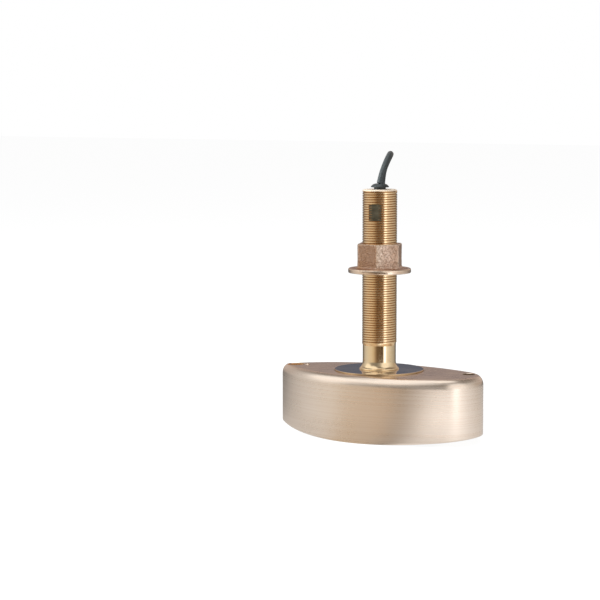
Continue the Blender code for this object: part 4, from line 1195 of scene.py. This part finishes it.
me = bpy.data.meshes.new("floor")
me.from_pydata([(-9, -9, 0), (9, -9, 0), (9, 9, 0), (-9, 9, 0)], [], [(0, 1, 2, 3)])
floor = bpy.data.objects.new("floor", me)
fm = Mat("floor_paper", 0.0)
paper = fm.noise(90, 3.0)
me.materials.append(fm.use(fm.ramp(paper, [(0.3, (0.88, 0.88, 0.88)), (0.7, (0.90, 0.90, 0.90))]),
                           fm.mapped(paper, 0.85, 0.95, 0.3, 0.7)))
t = fm.t
out = t.nodes["Material Output"]
lift = t.nodes.new("ShaderNodeEmission")
lift.inputs["Color"].default_value = (1, 1, 1, 1)
lift.inputs["Strength"].default_value = 0.30
unit, sep = compass(t, fm.co)
length = t.nodes.new("ShaderNodeVectorMath")
length.operation = "LENGTH"
t.links.new(fm.co, length.inputs[0])
close = blend(t, ease_range(t, length.outputs["Value"], 0.07, 0.22), sky_ramp(t, unit, CLOSE), sky_ramp(t, unit, NEAR))
mirrored = t.nodes.new("ShaderNodeEmission")
reach = t.nodes.new("ShaderNodeMath")                             # the near pattern runs on a little farther to the right
reach.operation = "MULTIPLY"
t.links.new(length.outputs["Value"], reach.inputs[0])
t.links.new(sky_ramp(t, unit, [(-180, 1.0), (-86, 1.0), (-66, 0.97), (-40, 0.96), (0, 0.97), (40, 1.0)]), reach.inputs[1])
t.links.new(blend(t, ease_range(t, reach.outputs[0], 0.46, 0.495), close, sky_ramp(t, unit, FAR)),
            mirrored.inputs["Color"])
path = t.nodes.new("ShaderNodeLightPath")
pick = t.nodes.new("ShaderNodeMixShader")
t.links.new(path.outputs["Is Glossy Ray"], pick.inputs[0])
t.links.new(lift.outputs[0], pick.inputs[1])
t.links.new(mirrored.outputs[0], pick.inputs[2])
glow = t.nodes.new("ShaderNodeEmission")
glow.inputs["Strength"].default_value = 1.07
paler = t.nodes.new("ShaderNodeMixShader")
paler.inputs[0].default_value = 0.88
t.links.new(fm.p.outputs[0], paler.inputs[1])
t.links.new(glow.outputs[0], paler.inputs[2])
shown = t.nodes.new("ShaderNodeMixShader")
t.links.new(path.outputs["Is Camera Ray"], shown.inputs[0])
t.links.new(pick.outputs[0], shown.inputs[1])
t.links.new(paler.outputs[0], shown.inputs[2])
t.links.new(shown.outputs[0], out.inputs["Surface"])
scene.collection.objects.link(floor)

world = bpy.data.worlds.new("studio")
scene.world = world
world.use_nodes = True
t = world.node_tree
ray = t.nodes.new("ShaderNodeTexCoord").outputs["Generated"]
unit, sep = compass(t, ray)


def facing(vec):
    n = t.nodes.new("ShaderNodeVectorMath")
    n.operation = "DOT_PRODUCT"
    t.links.new(ray, n.inputs[0])
    n.inputs[1].default_value = tuple(vec.normalized())
    return n.outputs["Value"]


# the room: a long softbox overhead, bent down to the left, a small one low on the right
# and a warm card behind
room = sky_ramp(t, unit, ROOM)
col = blend(t, ease_range(t, sep.outputs[2], 0.30, 0.75), room, (0.27, 0.245, 0.225))
for up, toward, right, lo, hi, value in ((0.50, 0.10, -0.85, 0.86, 0.95, 1.24), (0.70, 0.50, -0.50, 0.89, 0.97, 1.24),
                                         (1.00, 0.05, -0.05, 0.86, 0.95, 1.25), (0.43, 0.66, 0.62, 0.88, 0.96, 1.15)):
    col = blend(t, ease_range(t, facing(Vector((0, 0, up)) + TOWARD * toward + RIGHT * right), lo, hi), col, (value,) * 3)
col = blend(t, ease_range(t, facing(Vector((0, 0, 0.5)) - TOWARD * 0.866), 0.93, 0.98), col, (0.55, 0.44, 0.40))
mirror = t.nodes.new("ShaderNodeBackground")
t.links.new(col, mirror.inputs["Color"])
fill = t.nodes["Background"]
fill.inputs["Color"].default_value = (1, 1, 1, 1)
fill.inputs["Strength"].default_value = 0.30
white = t.nodes.new("ShaderNodeBackground")
white.inputs["Color"].default_value = (1, 1, 1, 1)
white.inputs["Strength"].default_value = 1.0
path = t.nodes.new("ShaderNodeLightPath")
pick = t.nodes.new("ShaderNodeMixShader")
t.links.new(path.outputs["Is Glossy Ray"], pick.inputs[0])
t.links.new(fill.outputs[0], pick.inputs[1])
t.links.new(mirror.outputs[0], pick.inputs[2])
shown = t.nodes.new("ShaderNodeMixShader")
t.links.new(path.outputs["Is Camera Ray"], shown.inputs[0])
t.links.new(pick.outputs[0], shown.inputs[1])
t.links.new(white.outputs[0], shown.inputs[2])
t.links.new(shown.outputs[0], t.nodes["World Output"].inputs[0])


def softbox(name, place, aim, size, power):
    """Soft lamp for everything that is not metal; what the metal mirrors is above."""
    data = bpy.data.lights.new(name, "AREA")
    data.shape = "RECTANGLE"
    data.size, data.size_y = size
    data.energy = power
    ob = bpy.data.objects.new(name, data)
    ob.location = place
    ob.rotation_euler = (Vector(aim) - Vector(place)).to_track_quat("-Z", "Y").to_euler()
    ob.visible_glossy = False
    ob.visible_camera = False
    scene.collection.objects.link(ob)


softbox("box_left", -RIGHT * 1.7 + TOWARD * 0.2 + Vector((0, 0, 0.8)), (0, 0, 0.12), (1.1, 1.5), 120)
softbox("box_top", TOWARD * 0.6 + Vector((0, 0, 2.3)), (0, 0, 0), (2.4, 2.4), 52)
softbox("box_right", RIGHT * 1.3 + TOWARD * 1.1 + Vector((0, 0, 0.6)), (0, 0, 0.12), (0.5, 1.5), 5)
